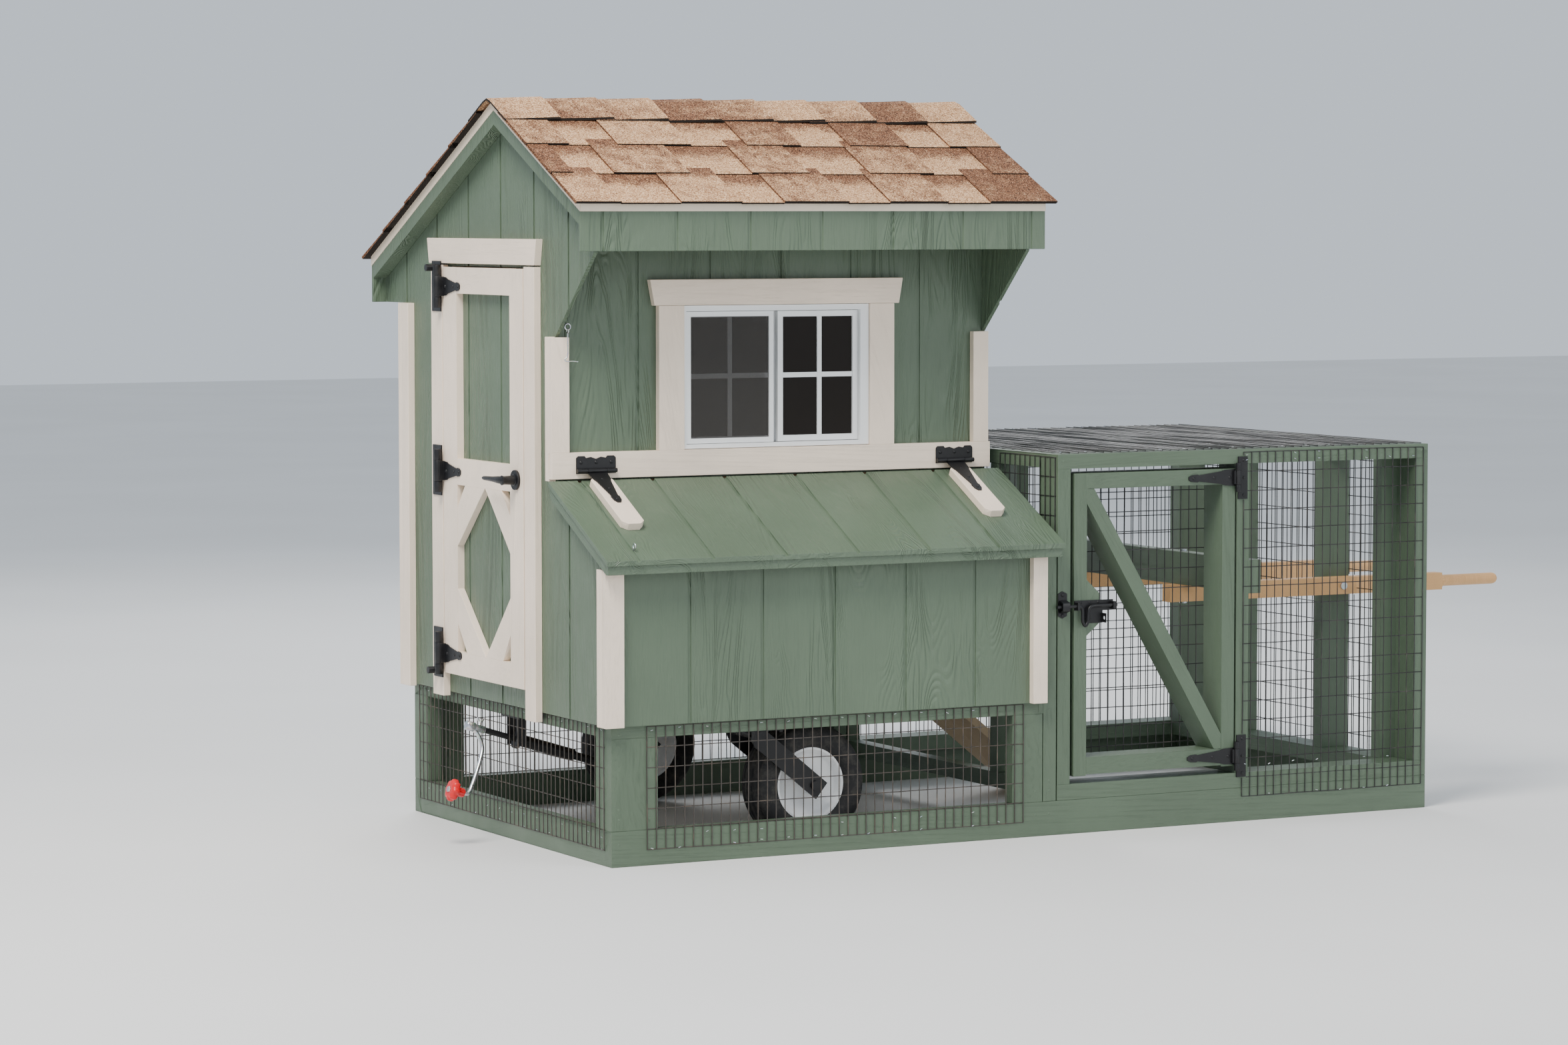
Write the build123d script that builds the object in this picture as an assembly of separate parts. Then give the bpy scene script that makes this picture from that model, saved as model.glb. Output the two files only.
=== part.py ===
from build123d import *
import math
import os

# A chicken coop: a raised hen house with a nest box, on an eight-foot base that it shares with a wire run.
# Lengths below are in inches, the unit its timber is cut in, and every shape is made in millimetres.
# +X runs along the long front from the house to the run, +Y goes in from the front, +Z is up.
# The modelling origin is the house's left front frame corner, on the ground.

INCH = 25.4
RUNNING_GAP = 0.05 / INCH  # radial clearance of a shaft in its bore

# timber and sheet
THICK = 1.5
WIDE = 3.5
SIDING = 0.4
TRIM = 0.75
GROOVE_PITCH = 8.0
GROOVE_WIDE = 0.35
GROOVE_DEEP = 0.12

# base
LENGTH = 96.0
FRONT = -12.0
BACK = 36.0
HOUSE = 48.0
SKID_TOP = 3.5
PLATE_LOW = 12.5
PLATE_TOP = 14.0
FLOOR_TOP = 14.6
SIDING_LOW = 13.7

# roof: fascia line through the ridge, falling one in two each way
RIDGE_Y = 10.45
RIDGE_Z = 73.47
ROOF_SLOPE = 0.5
DECK_LOW = 0.35
DECK_TOP = 1.05
EAVE_FRONT = -9.7
EAVE_BACK = 42.2
RAKE_OUT = 2.0
RAFTER_DEEP = 2.8
SHINGLE_THICK = 0.35
CAP_REACH = 3.75

# nest lid, hinged on the band above it
LID_SLOPE = 0.523
LID_Y = -1.1
LID_Z = 37.0
LID_THICK = 0.45
LID_TILT = math.degrees(math.atan(LID_SLOPE))
LID_PIN = (-1.5, 37.9)

# run
RUN_LEFT = 50.25
RUN_LOW = 5.1
RUN_RAIL = 37.3
RUN_TOP = 38.8
HINGE_POST = 71.9
CROSS_BOARD = HINGE_POST + THICK
DOOR_LEFT = 52.2
DOOR_RIGHT = 71.65
DOOR_LOW = 5.85
DOOR_TOP = 36.8
LEAF_MIDS = (35.83, 6.86)
WIRE = 0.08
WIRE_PITCH_ACROSS = 2.0
WIRE_PITCH_UP = 4.0

# house door in the left wall
HOUSE_PIN = (-1.75, 25.5)
HANDLE_YZ = (7.3, 36.65)

# wheels and lifting jack
AXLE_SHAFT = (16.9, 11.85)
HUB = (23.6, 6.4)
JACK_Y = 12.0
JACK_PIVOT = (0.9, 10.05)
LEVER_PIN = (12.2, 6.5)
CRANK_TURN = 22.0
CRANK_GRIP = -7.2
WHEELS_Y = (-6.9, 30.5)
TYRE_R = 6.3
RIM_R = 3.6
TYRE_WIDE = 4.6
FORK_IN = 2.5
FORK_THICK = 0.25

NODES = {}


def roof(y):
    """Height of the roof's fascia line at depth y."""
    return RIDGE_Z - ROOF_SLOPE * abs(y - RIDGE_Y)


def lid_under(y):
    """Height of the nest lid's underside at depth y."""
    return LID_Z + LID_SLOPE * (y - LID_Y) - LID_THICK * math.hypot(1, LID_SLOPE)


def block(x0, x1, y0, y1, z0, z1):
    """A squared piece between two corners."""
    corner = Pos(x0 * INCH, y0 * INCH, z0 * INCH)
    box = Box((x1 - x0) * INCH, (y1 - y0) * INCH, (z1 - z0) * INCH, align=(Align.MIN,) * 3)
    return corner * box


def prism(normal, start, end, points):
    """A plate whose outline is drawn square to an axis: (y, z) points for X, (x, z) for Y."""
    if normal == "X":
        outline = [Vector(start, a, b) * INCH for a, b in points]
        along = Vector(1, 0, 0)
    else:
        outline = [Vector(a, start, b) * INCH for a, b in points]
        along = Vector(0, 1, 0)
    face = Face(Wire.make_polygon(outline, close=True))
    return Solid.extrude(face, along * ((end - start) * INCH))


def rod(start, end, radius):
    """A round bar between two points."""
    a = Vector(*start) * INCH
    b = Vector(*end) * INCH
    plane = Plane(origin=a, z_dir=(b - a).normalized())
    return Solid.make_cylinder(radius * INCH, (b - a).length, plane)


def bent_rod(points, radius):
    """A round bar through several points, with rounded corners."""
    shape = rod(points[0], points[1], radius)
    for start, end in zip(points[1:], points[2:]):
        knee = Pos(*(Vector(*start) * INCH)) * Sphere(radius * INCH)
        shape = shape + [knee, rod(start, end, radius)]
    return shape


def ring(centre, axis, radius, wire):
    """A closed round eye of round wire."""
    plane = Plane(origin=Vector(*centre) * INCH, z_dir=axis)
    return plane * Torus(radius * INCH, wire * INCH)


def save(name, shapes):
    """Keep the solids of one node."""
    solids = []
    for shape in shapes:
        solids.extend(shape.solids())
    NODES[name] = solids


def grooves(first, low, high):
    """Positions of the siding's grooves that lie between two ends."""
    start = math.ceil((low - first) / GROOVE_PITCH)
    count = math.ceil((high - first) / GROOVE_PITCH)
    centres = [first + GROOVE_PITCH * i for i in range(start, count)]
    return [c for c in centres if low + GROOVE_WIDE < c < high - GROOVE_WIDE]


def side_board(x_in, x_out, outline):
    """One sheet of grooved siding on a side wall, from its (y, z) outline."""
    sheet = prism("X", min(x_in, x_out), max(x_in, x_out), outline)
    ys = [y for y, z in outline]
    face = x_out - math.copysign(GROOVE_DEEP, x_out - x_in)
    past = x_out + math.copysign(GROOVE_DEEP, x_out - x_in)
    cuts = []
    for y in grooves(-3.56, min(ys), max(ys)):
        y0 = y - GROOVE_WIDE / 2
        cuts.append(block(min(face, past), max(face, past), y0, y0 + GROOVE_WIDE, 10, 80))
    return sheet - cuts if cuts else sheet


def front_board(x0, x1, z0, z1, y_out, first, inward=1):
    """One sheet of grooved siding on the front, or on the back where inward is -1."""
    y_in = y_out + inward * SIDING
    sheet = block(x0, x1, min(y_in, y_out), max(y_in, y_out), z0, z1)
    cuts = []
    for x in grooves(first, x0, x1):
        x_low = x - GROOVE_WIDE / 2
        y0 = y_out - GROOVE_DEEP
        cuts.append(block(x_low, x_low + GROOVE_WIDE, y0, y0 + 2 * GROOVE_DEEP, z0 - 1, z1 + 1))
    return sheet - cuts if cuts else sheet


def lattice(normal, at, across, up, holes=()):
    """A welded wire panel as one flat grid. across and up are the two ranges that it spans."""
    def point(a, b):
        places = {"X": (at, a, b), "Y": (a, at, b), "Z": (a, b, at)}
        return Vector(*places[normal]) * INCH

    def cell(a0, a1, b0, b1):
        return Wire.make_polygon(
            [point(a0, b0), point(a1, b0), point(a1, b1), point(a0, b1)], close=True
        )

    def stops(low, high, pitch):
        count = max(1, round((high - low - WIRE) / pitch))
        step = (high - low - WIRE) / count
        return [low + step * i for i in range(count + 1)]

    columns = stops(across[0], across[1], WIRE_PITCH_ACROSS)
    rows = stops(up[0], up[1], WIRE_PITCH_UP)
    windows = []
    for a0, a1 in zip(columns, columns[1:]):
        for b0, b1 in zip(rows, rows[1:]):
            windows.append(cell(a0 + WIRE, a1, b0 + WIRE, b1))
    face = Face(cell(across[0], across[1], up[0], up[1]), windows)
    direction = {"X": (1, 0, 0), "Y": (0, 1, 0), "Z": (0, 0, 1)}[normal]
    panel = Solid.extrude(face, Vector(*direction) * (WIRE * INCH))
    for hole in holes:
        panel = panel - hole
    return panel


def strap_outline(length, half):
    """A hinge strap's outline from its root at (0, 0): a taper to a narrow neck, then a small spade end."""
    edge = [(0, 1), (0.22, 0.92), (0.3, 0.76), (0.78, 0.36), (0.81, 0.46), (0.93, 0.4), (1, 0.18)]
    upper = [(length * a, half * b) for a, b in edge]
    return upper + [(a, -b) for a, b in reversed(upper)]


def knuckles(pin_x, pin_y, z_mid, radius, half, middle):
    """Middle sleeve, and the pin with its two end sleeves, of an upright hinge."""
    pin_r = radius * 0.4
    centre = rod((pin_x, pin_y, z_mid - middle), (pin_x, pin_y, z_mid + middle), radius)
    centre = centre - rod(
        (pin_x, pin_y, z_mid - half), (pin_x, pin_y, z_mid + half), pin_r + RUNNING_GAP
    )
    pin = rod((pin_x, pin_y, z_mid - half), (pin_x, pin_y, z_mid + half), pin_r)
    for side in (-1, 1):
        z0 = z_mid + side * (middle + 0.03)
        z1 = z_mid + side * half
        pin = pin + rod((pin_x, pin_y, z0), (pin_x, pin_y, z1), radius)
    return centre, pin


# ---------------------------------------------------------------- base and floor
def make_base():
    save("base_skids", [
        block(0, LENGTH, FRONT, FRONT + THICK, 0, SKID_TOP),
        block(0, LENGTH, BACK - THICK, BACK, 0, SKID_TOP),
        block(0, THICK, FRONT + THICK, BACK - THICK, 0, SKID_TOP),
        block(LENGTH - THICK, LENGTH, FRONT + THICK, BACK - THICK, 0, SKID_TOP),
    ])
    front_edge = FRONT + WIDE
    back_edge = BACK - WIDE
    pieces = []
    for edge, inner, face in ((FRONT, front_edge, FRONT + THICK), (BACK, back_edge, BACK - THICK)):
        y0, y1 = min(edge, inner), max(edge, inner)
        f0, f1 = min(edge, face), max(edge, face)
        pieces.append(block(0, THICK, y0, y1, SKID_TOP, PLATE_LOW))
        pieces.append(block(THICK, THICK + WIDE, f0, f1, SKID_TOP, PLATE_LOW))
        pieces.append(block(45, 48.5, f0, f1, SKID_TOP, PLATE_LOW))
        pieces.append(block(0, HOUSE, y0, y1, PLATE_LOW, PLATE_TOP))
        pieces.append(block(HOUSE, 48.6, y0, y1, PLATE_LOW, SIDING_LOW - 0.05))
        pieces.append(block(48.6, 50.1, y0, y1, SKID_TOP, 28.5))
    for x in (0, 15.15, 30, HOUSE - WIDE):
        pieces.append(block(x, x + WIDE, front_edge, back_edge, PLATE_LOW, PLATE_TOP))
    save("base_frame", pieces)
    save("house_floor", [block(0, HOUSE, FRONT, BACK, PLATE_TOP, FLOOR_TOP)])


# ---------------------------------------------------------------- house frame and roof
def make_framing():
    plate_front = (62.2, 65.7)
    plate_back = (54.7, 58.2)
    beam_low, beam_top = 35.5, 39.0
    pieces = [
        block(0, HOUSE, 0, THICK, *plate_front),
        block(0, HOUSE, BACK - THICK, BACK, *plate_back),
        block(THICK, HOUSE - THICK, 0, THICK, beam_low, beam_top),
        block(13.4, 34.55, 0, THICK, beam_top, 39.7),
        block(13.4, 34.55, 0, THICK, 54.1, 57.6),
        block(0, HOUSE, FRONT, FRONT + THICK, 28.5, 30.0),
    ]
    for x in (0, HOUSE - THICK):
        pieces.append(block(x, x + THICK, 0, WIDE, FLOOR_TOP, plate_front[0]))
        pieces.append(block(x, x + THICK, BACK - WIDE, BACK, FLOOR_TOP, plate_back[0]))
        pieces.append(block(x, x + THICK, FRONT, FRONT + THICK, FLOOR_TOP, 28.5))
    for x in (11.25, 23.25, 35.25):
        pieces.append(block(x, x + THICK, BACK - THICK, BACK, FLOOR_TOP, plate_back[0]))
    for x in (11.9, 34.55):
        pieces.append(block(x, x + THICK, 0, THICK, beam_top, plate_front[0]))
    for y in (4.0, 25.5):
        pieces.append(block(0, THICK, y, y + THICK, FLOOR_TOP, 57.8))
    pieces.append(block(0, THICK, 4.0, 27.0, 57.8, 61.3))
    pieces.append(block(0, THICK, 14.0, 15.5, 61.3, 68.4))
    for y, top in ((12.5, 69.2), (24.0, 63.4)):
        pieces.append(block(HOUSE - THICK, HOUSE, y, y + THICK, FLOOR_TOP, top))
    save("house_framing", pieces)

    low = DECK_LOW - RAFTER_DEEP
    rafters = [block(0, HOUSE, 9.7, 11.2, 69.9, 73.4)]
    for x in (0, 11.6, 23.25, 34.9, HOUSE - THICK):
        for y0, y1 in ((-9.3, 9.7), (11.2, 41.8)):
            rafters.append(prism("X", x, x + THICK, [
                (y0, roof(y0) + low), (y1, roof(y1) + low),
                (y1, roof(y1) + DECK_LOW), (y0, roof(y0) + DECK_LOW),
            ]))
    save("rafters", rafters)


def roof_band(y0, y1, low, high):
    """Outline between two heights over the fascia line, on one slope."""
    return [(y0, roof(y0) + low), (y1, roof(y1) + low), (y1, roof(y1) + high), (y0, roof(y0) + high)]


def make_roof():
    slopes = ((EAVE_FRONT, RIDGE_Y), (RIDGE_Y, EAVE_BACK))
    left, right = -RAKE_OUT, HOUSE + RAKE_OUT
    deck = [prism("X", left, right, roof_band(y0, y1, DECK_LOW, DECK_TOP)) for y0, y1 in slopes]
    save("roof_deck", deck)

    fascia = []
    for x0, x1 in ((left, -SIDING), (HOUSE + SIDING, right)):
        for y0, y1 in ((EAVE_FRONT + SIDING, RIDGE_Y), (RIDGE_Y, EAVE_BACK - SIDING)):
            fascia.append(prism("X", x0, x1, roof_band(y0, y1, -1.45, DECK_LOW)))
    fascia.append(front_board(left, right, 59.55, 63.7, EAVE_FRONT, 0.3))
    fascia.append(front_board(left, right, 53.8, 57.9, EAVE_BACK, 0.3, inward=-1))
    save("roof_fascia", fascia)

    metal = 0.06
    drip = []
    for x in (left - metal, right):
        for y0, y1 in slopes:
            drip.append(prism("X", x, x + metal, roof_band(y0, y1, 0, DECK_TOP - 0.01)))
    for y0, y1 in ((EAVE_FRONT - metal, EAVE_FRONT), (EAVE_BACK, EAVE_BACK + metal)):
        low = roof(EAVE_FRONT if y0 < 0 else EAVE_BACK)
        drip.append(block(left, right, y0, y1, low, low + 0.98))
    save("drip_edge", drip)

    overhang = 0.7
    x0, x1 = left - 0.8, right + 1.0
    courses = []
    for eave, top, count in (
        (EAVE_FRONT - overhang, RIDGE_Y - CAP_REACH, 3),
        (EAVE_BACK + overhang, RIDGE_Y + CAP_REACH, 5),
    ):
        step = (top - eave) / count
        for i in range(count):
            y0 = eave + step * i
            y1 = y0 + step
            courses.append(prism("X", x0, x1, [
                (y0, roof(y0) + DECK_TOP), (y1, roof(y1) + DECK_TOP),
                (y1, roof(y1) + DECK_TOP + SHINGLE_THICK * 0.4),
                (y0, roof(y0) + DECK_TOP + SHINGLE_THICK),
            ]))
    save("shingles", courses)

    caps = []
    count = 9
    step = (x1 - x0) / count
    ys = (RIDGE_Y - CAP_REACH, RIDGE_Y, RIDGE_Y + CAP_REACH)
    under = [(y, roof(y) + DECK_TOP) for y in ys]
    over = [(y, z + SHINGLE_THICK) for y, z in reversed(under)]
    for i in range(count):
        caps.append(prism("X", x0 + step * i, x0 + step * (i + 1) - 0.02, under + over))
    save("ridge_caps", caps)


# ---------------------------------------------------------------- siding and trim
def make_siding():
    clear = 0.15
    bracket_z = 51.1
    lid_front = lid_under(FRONT) - clear
    lid_back = lid_under(-SIDING) - clear
    over = DECK_LOW - 0.02
    walls = (
        ("left_siding", 0, -SIDING, 5.5, 25.5, 15.6, 57.8),
        ("right_siding", HOUSE, HOUSE + SIDING, 14.5, 23.5, 15.0, 27.5),
    )
    for name, x_in, x_out, gap0, gap1, gap_low, gap_top in walls:
        outlines = [
            [(FRONT, SIDING_LOW), (-SIDING, SIDING_LOW), (-SIDING, lid_back), (FRONT, lid_front)],
            [(-SIDING, SIDING_LOW), (gap0, SIDING_LOW), (gap0, bracket_z), (-SIDING, bracket_z)],
            [(gap0, SIDING_LOW), (gap1, SIDING_LOW), (gap1, gap_low), (gap0, gap_low)],
            [(gap1, SIDING_LOW), (BACK, SIDING_LOW), (BACK, 53.8), (gap1, 53.8)],
            [(gap1, 53.8), (41.8, 53.8), (41.8, roof(41.8) + over), (gap1, roof(gap1) + over)],
        ]
        brow = [(-SIDING, bracket_z), (gap0, bracket_z), (gap0, roof(gap0) + over)]
        head = [(gap0, gap_top), (gap1, gap_top), (gap1, roof(gap1) + over)]
        ridge = (RIDGE_Y, roof(RIDGE_Y) + over)
        if gap0 > RIDGE_Y:
            brow.append(ridge)
            head.append((gap0, roof(gap0) + over))
        else:
            head.append(ridge)
            head.append((gap0, roof(gap0) + over))
        brow.append((-9.3, roof(-9.3) + over))
        brow.append((-9.3, 59.4))
        outlines.append(brow)
        outlines.append(head)
        save(name, [side_board(x_in, x_out, outline) for outline in outlines])

    top = 65.55
    save("front_siding", [
        front_board(0, 13.45, 36.9, top, -SIDING, 0.54),
        front_board(34.5, HOUSE, 36.9, top, -SIDING, 0.54),
        front_board(13.45, 34.5, 36.9, 39.75, -SIDING, 0.54),
        front_board(13.45, 34.5, 54.05, top, -SIDING, 0.54),
    ])
    save("rear_siding", [front_board(0, HOUSE, SIDING_LOW, 58.0, BACK + SIDING, 0.54, inward=-1)])
    nest_top = lid_under(FRONT - SIDING) - clear
    save("nest_front", [
        front_board(-SIDING, HOUSE + SIDING, SIDING_LOW, nest_top, FRONT - SIDING, 0.27),
    ])
    dividers = [block(x - 0.25, x + 0.25, FRONT + THICK, 0, FLOOR_TOP, 27) for x in (12, 24, 36)]
    dividers.append(block(THICK, HOUSE - THICK, 0, TRIM, FLOOR_TOP, 18.6))
    save("nest_dividers", dividers)


def make_trim():
    face = -SIDING - TRIM
    trim = [
        block(-1.15, 48.6, face, -SIDING, 37.1, 39.7),
        block(-1.15, 0.77, face, -SIDING, 39.7, 51.05),
        block(-1.15, -SIDING, -SIDING, 0.45, 36.9, 51.1),
        block(46.63, 48.4, face, -SIDING, 39.7, 51.05),
        block(-1.15, 0.88, FRONT - SIDING - TRIM, FRONT - SIDING, SIDING_LOW, 29.0),
        block(-1.15, -SIDING, FRONT - SIDING, -11.2, SIDING_LOW, 29.0),
        block(46.73, 48.4, FRONT - SIDING - TRIM, FRONT - SIDING, SIDING_LOW, 29.0),
        block(-1.15, -SIDING, 34.5, BACK + SIDING, 13.5, 53.8),
        block(-1.15, 0.8, BACK + SIDING, BACK + SIDING + TRIM, 13.5, 53.8),
        block(46.6, 48.4, BACK + SIDING, BACK + SIDING + TRIM, 13.5, 53.8),
    ]
    save("corner_trim", trim)
    save("window_casing", [
        block(10.6, 13.42, face, -SIDING, 39.7, 54.05),
        block(34.49, 37.3, face, -SIDING, 39.7, 54.05),
        prism("Y", face, -SIDING, [(10.13, 54.07), (37.85, 54.07), (38.3, 56.64), (9.64, 56.64)]),
    ])
    save("door_casing", [
        block(-1.15, -SIDING, 25.6, 28.4, 13.3, 57.9),
        block(-1.15, -SIDING, 2.9, 5.4, 12.75, 57.9),
        prism("X", -1.15, -SIDING, [(2.9, 58.07), (28.9, 58.07), (29.4, 60.65), (2.4, 60.65)]),
    ])


# ---------------------------------------------------------------- window
def frame_ring(x0, x1, z0, z1, y0, y1, side, rail):
    """A rectangular sash or frame with an open middle."""
    outer = block(x0, x1, y0, y1, z0, z1)
    return outer - block(x0 + side, x1 - side, y0 - 1, y1 + 1, z0 + rail, z1 - rail)


def make_window():
    low, high = 40.25, 53.4
    outer = block(13.45, 34.47, -0.9, 1.2, 39.75, 54.03)
    save("window_frame", [outer - block(13.75, 33.5, -2, 2, 40.2, 53.45)])
    save("window_screen", [
        frame_ring(13.8, 23.6, low, high, -0.78, -0.5, 0.5, 0.5),
        block(14.3, 23.1, -0.66, -0.62, low + 0.5, high - 0.5),
    ])
    cross = [
        block(28.82, 29.32, -0.35, -0.2, low + 0.6, high - 0.6),
        block(24.85, 28.82, -0.35, -0.2, 46.67, 47.17),
        block(29.32, 32.85, -0.35, -0.2, 46.67, 47.17),
    ]
    save("window_fixed_sash", [frame_ring(24.25, 33.45, low, high, -0.45, 0.1, 0.6, 0.6)] + cross)
    save("window_fixed_glass", [block(24.85, 32.85, -0.2, -0.08, low + 0.6, high - 0.6)])
    cross = [
        block(18.95, 19.45, 0.25, 0.4, low + 0.6, high - 0.6),
        block(14.4, 18.95, 0.25, 0.4, 46.67, 47.17),
        block(19.45, 24.0, 0.25, 0.4, 46.67, 47.17),
    ]
    save("window_sash", [frame_ring(13.8, 24.6, low, high, 0.17, 0.8, 0.6, 0.6)] + cross)
    save("window_sash_glass", [block(14.4, 24.0, 0.4, 0.52, low + 0.6, high - 0.6)])


# ---------------------------------------------------------------- house door
def make_house_door():
    y0, y1, z0, z1 = 5.67, 25.4, 15.75, 57.7
    hy, hz = HANDLE_YZ
    spindle_r = 0.25
    hole = rod((-3, hy, hz), (3, hy, hz), spindle_r + RUNNING_GAP)
    panel = side_board(0, -SIDING, [(y0, z0), (y1, z0), (y1, z1), (y0, z1)])
    save("door_panel", [panel - hole])

    def board(points):
        return prism("X", -1.15, -SIDING, points)

    def flat(a0, a1, b0, b1):
        return board([(a0, b0), (a1, b0), (a1, b1), (a0, b1)])

    left, right = 21.9, 8.8
    top, mid0, mid1, bottom = 55.0, 35.4, 38.1, 18.2
    save("door_boards", [
        flat(left, y1, z0, z1),
        flat(y0, right, z0, z1) - hole,
        flat(right, left, top, z1),
        flat(right, left, mid0, mid1),
        flat(right, left, z0, bottom),
        board([(20.0, mid0), (15.0, mid0), (left, 29.1), (left, 33.1)]),
        board([(14.98, mid0), (10.9, mid0), (right, 32.9), (right, 29.1)]),
        board([(left, 24.75), (left, 21.05), (19.6, bottom), (14.92, bottom)]),
        board([(right, 24.75), (right, 21.0), (10.7, bottom), (14.9, bottom)]),
    ])

    px, py = HOUSE_PIN
    straps = []
    leaves = []
    for z in (55.7, 36.7, 17.8):
        sleeve, pin = knuckles(px, py, z, 0.4, 2.2, 1.1)
        strap = prism("X", -1.27, -1.15, [(25.3 - a, z + b) for a, b in strap_outline(4.4, 1.0)])
        web = block(px, -1.15, 25.0, 25.3, z - 1.0, z + 1.0)
        bore = rod((px, py, z - 3), (px, py, z + 3), 0.4 * 0.4 + RUNNING_GAP)
        straps.append(sleeve + [strap, web] - bore)
        leaf = block(-1.27, -1.15, 25.68, 27.9, z - 2.6, z + 2.6)
        for side in (-1, 1):
            z_low = min(z + side * 1.13, z + side * 2.2)
            leaf = leaf + block(px, -1.15, 25.7, 26.0, z_low, z_low + 1.07)
        leaf = leaf + pin
        if z != 36.7:
            bumper_z = z + math.copysign(1.9, z - 36.7)
            stop = rod((-1.2, 27.0, bumper_z), (-2.35, 27.0, bumper_z), 0.36)
            leaf = leaf + stop
        leaves.append(leaf)
    save("door_hinge_straps", straps)

    rose = rod((-1.15, hy, hz), (-1.4, hy, hz), 1.0) - hole
    save("door_rose", [rose])
    handle = rod((-2.85, hy, hz), (1.9, hy, hz), spindle_r)
    handle = handle + bent_rod([(-2.8, hy - 0.4, hz), (-2.85, hy + 2.5, hz), (-2.7, 12.3, hz)], 0.24)
    handle = handle + block(1.62, 1.87, hy - 0.45, hy + 0.45, hz - 2.4, hz + 2.4)
    save("door_handle", [handle])
    return leaves


# ---------------------------------------------------------------- nest lid
def on_lid(shape):
    """Place a shape whose XY plane is the lid's upper surface, +Y up the slope."""
    return Location((0, LID_Y * INCH, LID_Z * INCH), (LID_TILT, 0, 0)) * shape


def make_nest_lid():
    x0, x1 = -1.6, 49.6
    front, back = -14.55, -1.2
    drop = LID_THICK * math.hypot(1, LID_SLOPE)

    def top(y):
        return LID_Z + LID_SLOPE * (y - LID_Y)

    outline = [(front, top(front) - drop), (back, top(back) - drop), (back, top(back)), (front, top(front))]
    panel = prism("X", x0, x1, outline)
    length = (back - front) / math.cos(math.radians(LID_TILT))
    cuts = []
    for x in grooves(1.8, x0, x1):
        low = x - GROOVE_WIDE / 2
        cuts.append(on_lid(block(low, low + GROOVE_WIDE, -length - 2, 2, -GROOVE_DEEP, 1)))
    solids = [panel - cuts]
    edge = front + TRIM
    solids.append(prism("X", x0, x1, [
        (front, 28.6), (edge, 28.6), (edge, lid_under(edge)), (front, lid_under(front)),
    ]))
    for a in (x0, x1 - SIDING):
        solids.append(prism("X", a, a + SIDING, [
            (edge, lid_under(edge) - 1.2), (back, lid_under(back) - 1.2),
            (back, lid_under(back)), (edge, lid_under(edge)),
        ]))
    save("nest_lid", solids)

    battens = []
    straps = []
    leaves = []
    pin_y, pin_z = LID_PIN
    pin_r = 0.1
    radius = 0.22
    for x in (3.6, 44.3):
        clip = 0.55
        low, high, half = -9.65, -0.7, 1.2
        corners = [
            (x - half, low + clip), (x - half + clip, low), (x + half - clip, low), (x + half, low + clip),
            (x + half, high - clip), (x + half - clip, high), (x - half + clip, high), (x - half, high - clip),
        ]
        face = Face(Wire.make_polygon([Vector(a, b, 0) * INCH for a, b in corners], close=True))
        battens.append(on_lid(Solid.extrude(face, Vector(0, 0, TRIM * INCH))))
        outline = [Vector(x + b, -a, TRIM) * INCH for a, b in strap_outline(5.7, 1.02)]
        strap = on_lid(Solid.extrude(Face(Wire.make_polygon(outline, close=True)), Vector(0, 0, 0.12 * INCH)))
        strap = strap + rod((x - 1.02, pin_y, pin_z), (x + 1.02, pin_y, pin_z), radius)
        strap = strap - rod((x - 3, pin_y, pin_z), (x + 3, pin_y, pin_z), pin_r + RUNNING_GAP)
        straps.append(strap)
        crest = [(2.15, 37.6), (2.15, 39.15), (1.95, 39.35), (1.25, 39.35), (1.1, 39.15), (0.55, 39.25)]
        leaf = prism("Y", -1.27, -1.15, [(x + a, z) for a, z in crest] + [(x, 39.05)]
                     + [(x - a, z) for a, z in reversed(crest)])
        leaf = leaf + rod((x - 2.15, pin_y, pin_z), (x + 2.15, pin_y, pin_z), pin_r)
        for side in (-1, 1):
            a, b = x + side * 1.05, x + side * 2.15
            leaf = leaf + rod((a, pin_y, pin_z), (b, pin_y, pin_z), radius)
            leaf = leaf + block(min(a, b), max(a, b), pin_y, -1.2, 37.7, 38.0)
        leaves.append(leaf)
    eye = on_lid(ring((2.0, -13.3, 0.45), (1, 0, 0), 0.26, 0.06))
    eye = eye + on_lid(rod((2.0, -13.3, 0.0), (2.0, -13.3, 0.2), 0.08))
    save("lid_battens", battens)
    save("lid_hinge_straps", straps + [eye])
    return leaves


def make_lid_hook():
    x, y = 0.45, -1.5
    shank_top = 51.45
    hook = ring((x, y, 51.7), (1, 0, 0), 0.22, 0.05)
    path = [(x, y, shank_top + 0.04), (x, y, 49.3), (x - 0.3, y, 48.95), (x - 0.1, y, 48.7), (x + 1.1, y, 48.7)]
    save("lid_hook", [hook + bent_rod(path, 0.06)])
    eye = ring((x, y, 52.1), (0, 1, 0), 0.3, 0.06)
    return eye + rod((x, -SIDING, 52.4), (x, y, 52.4), 0.07)


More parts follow.
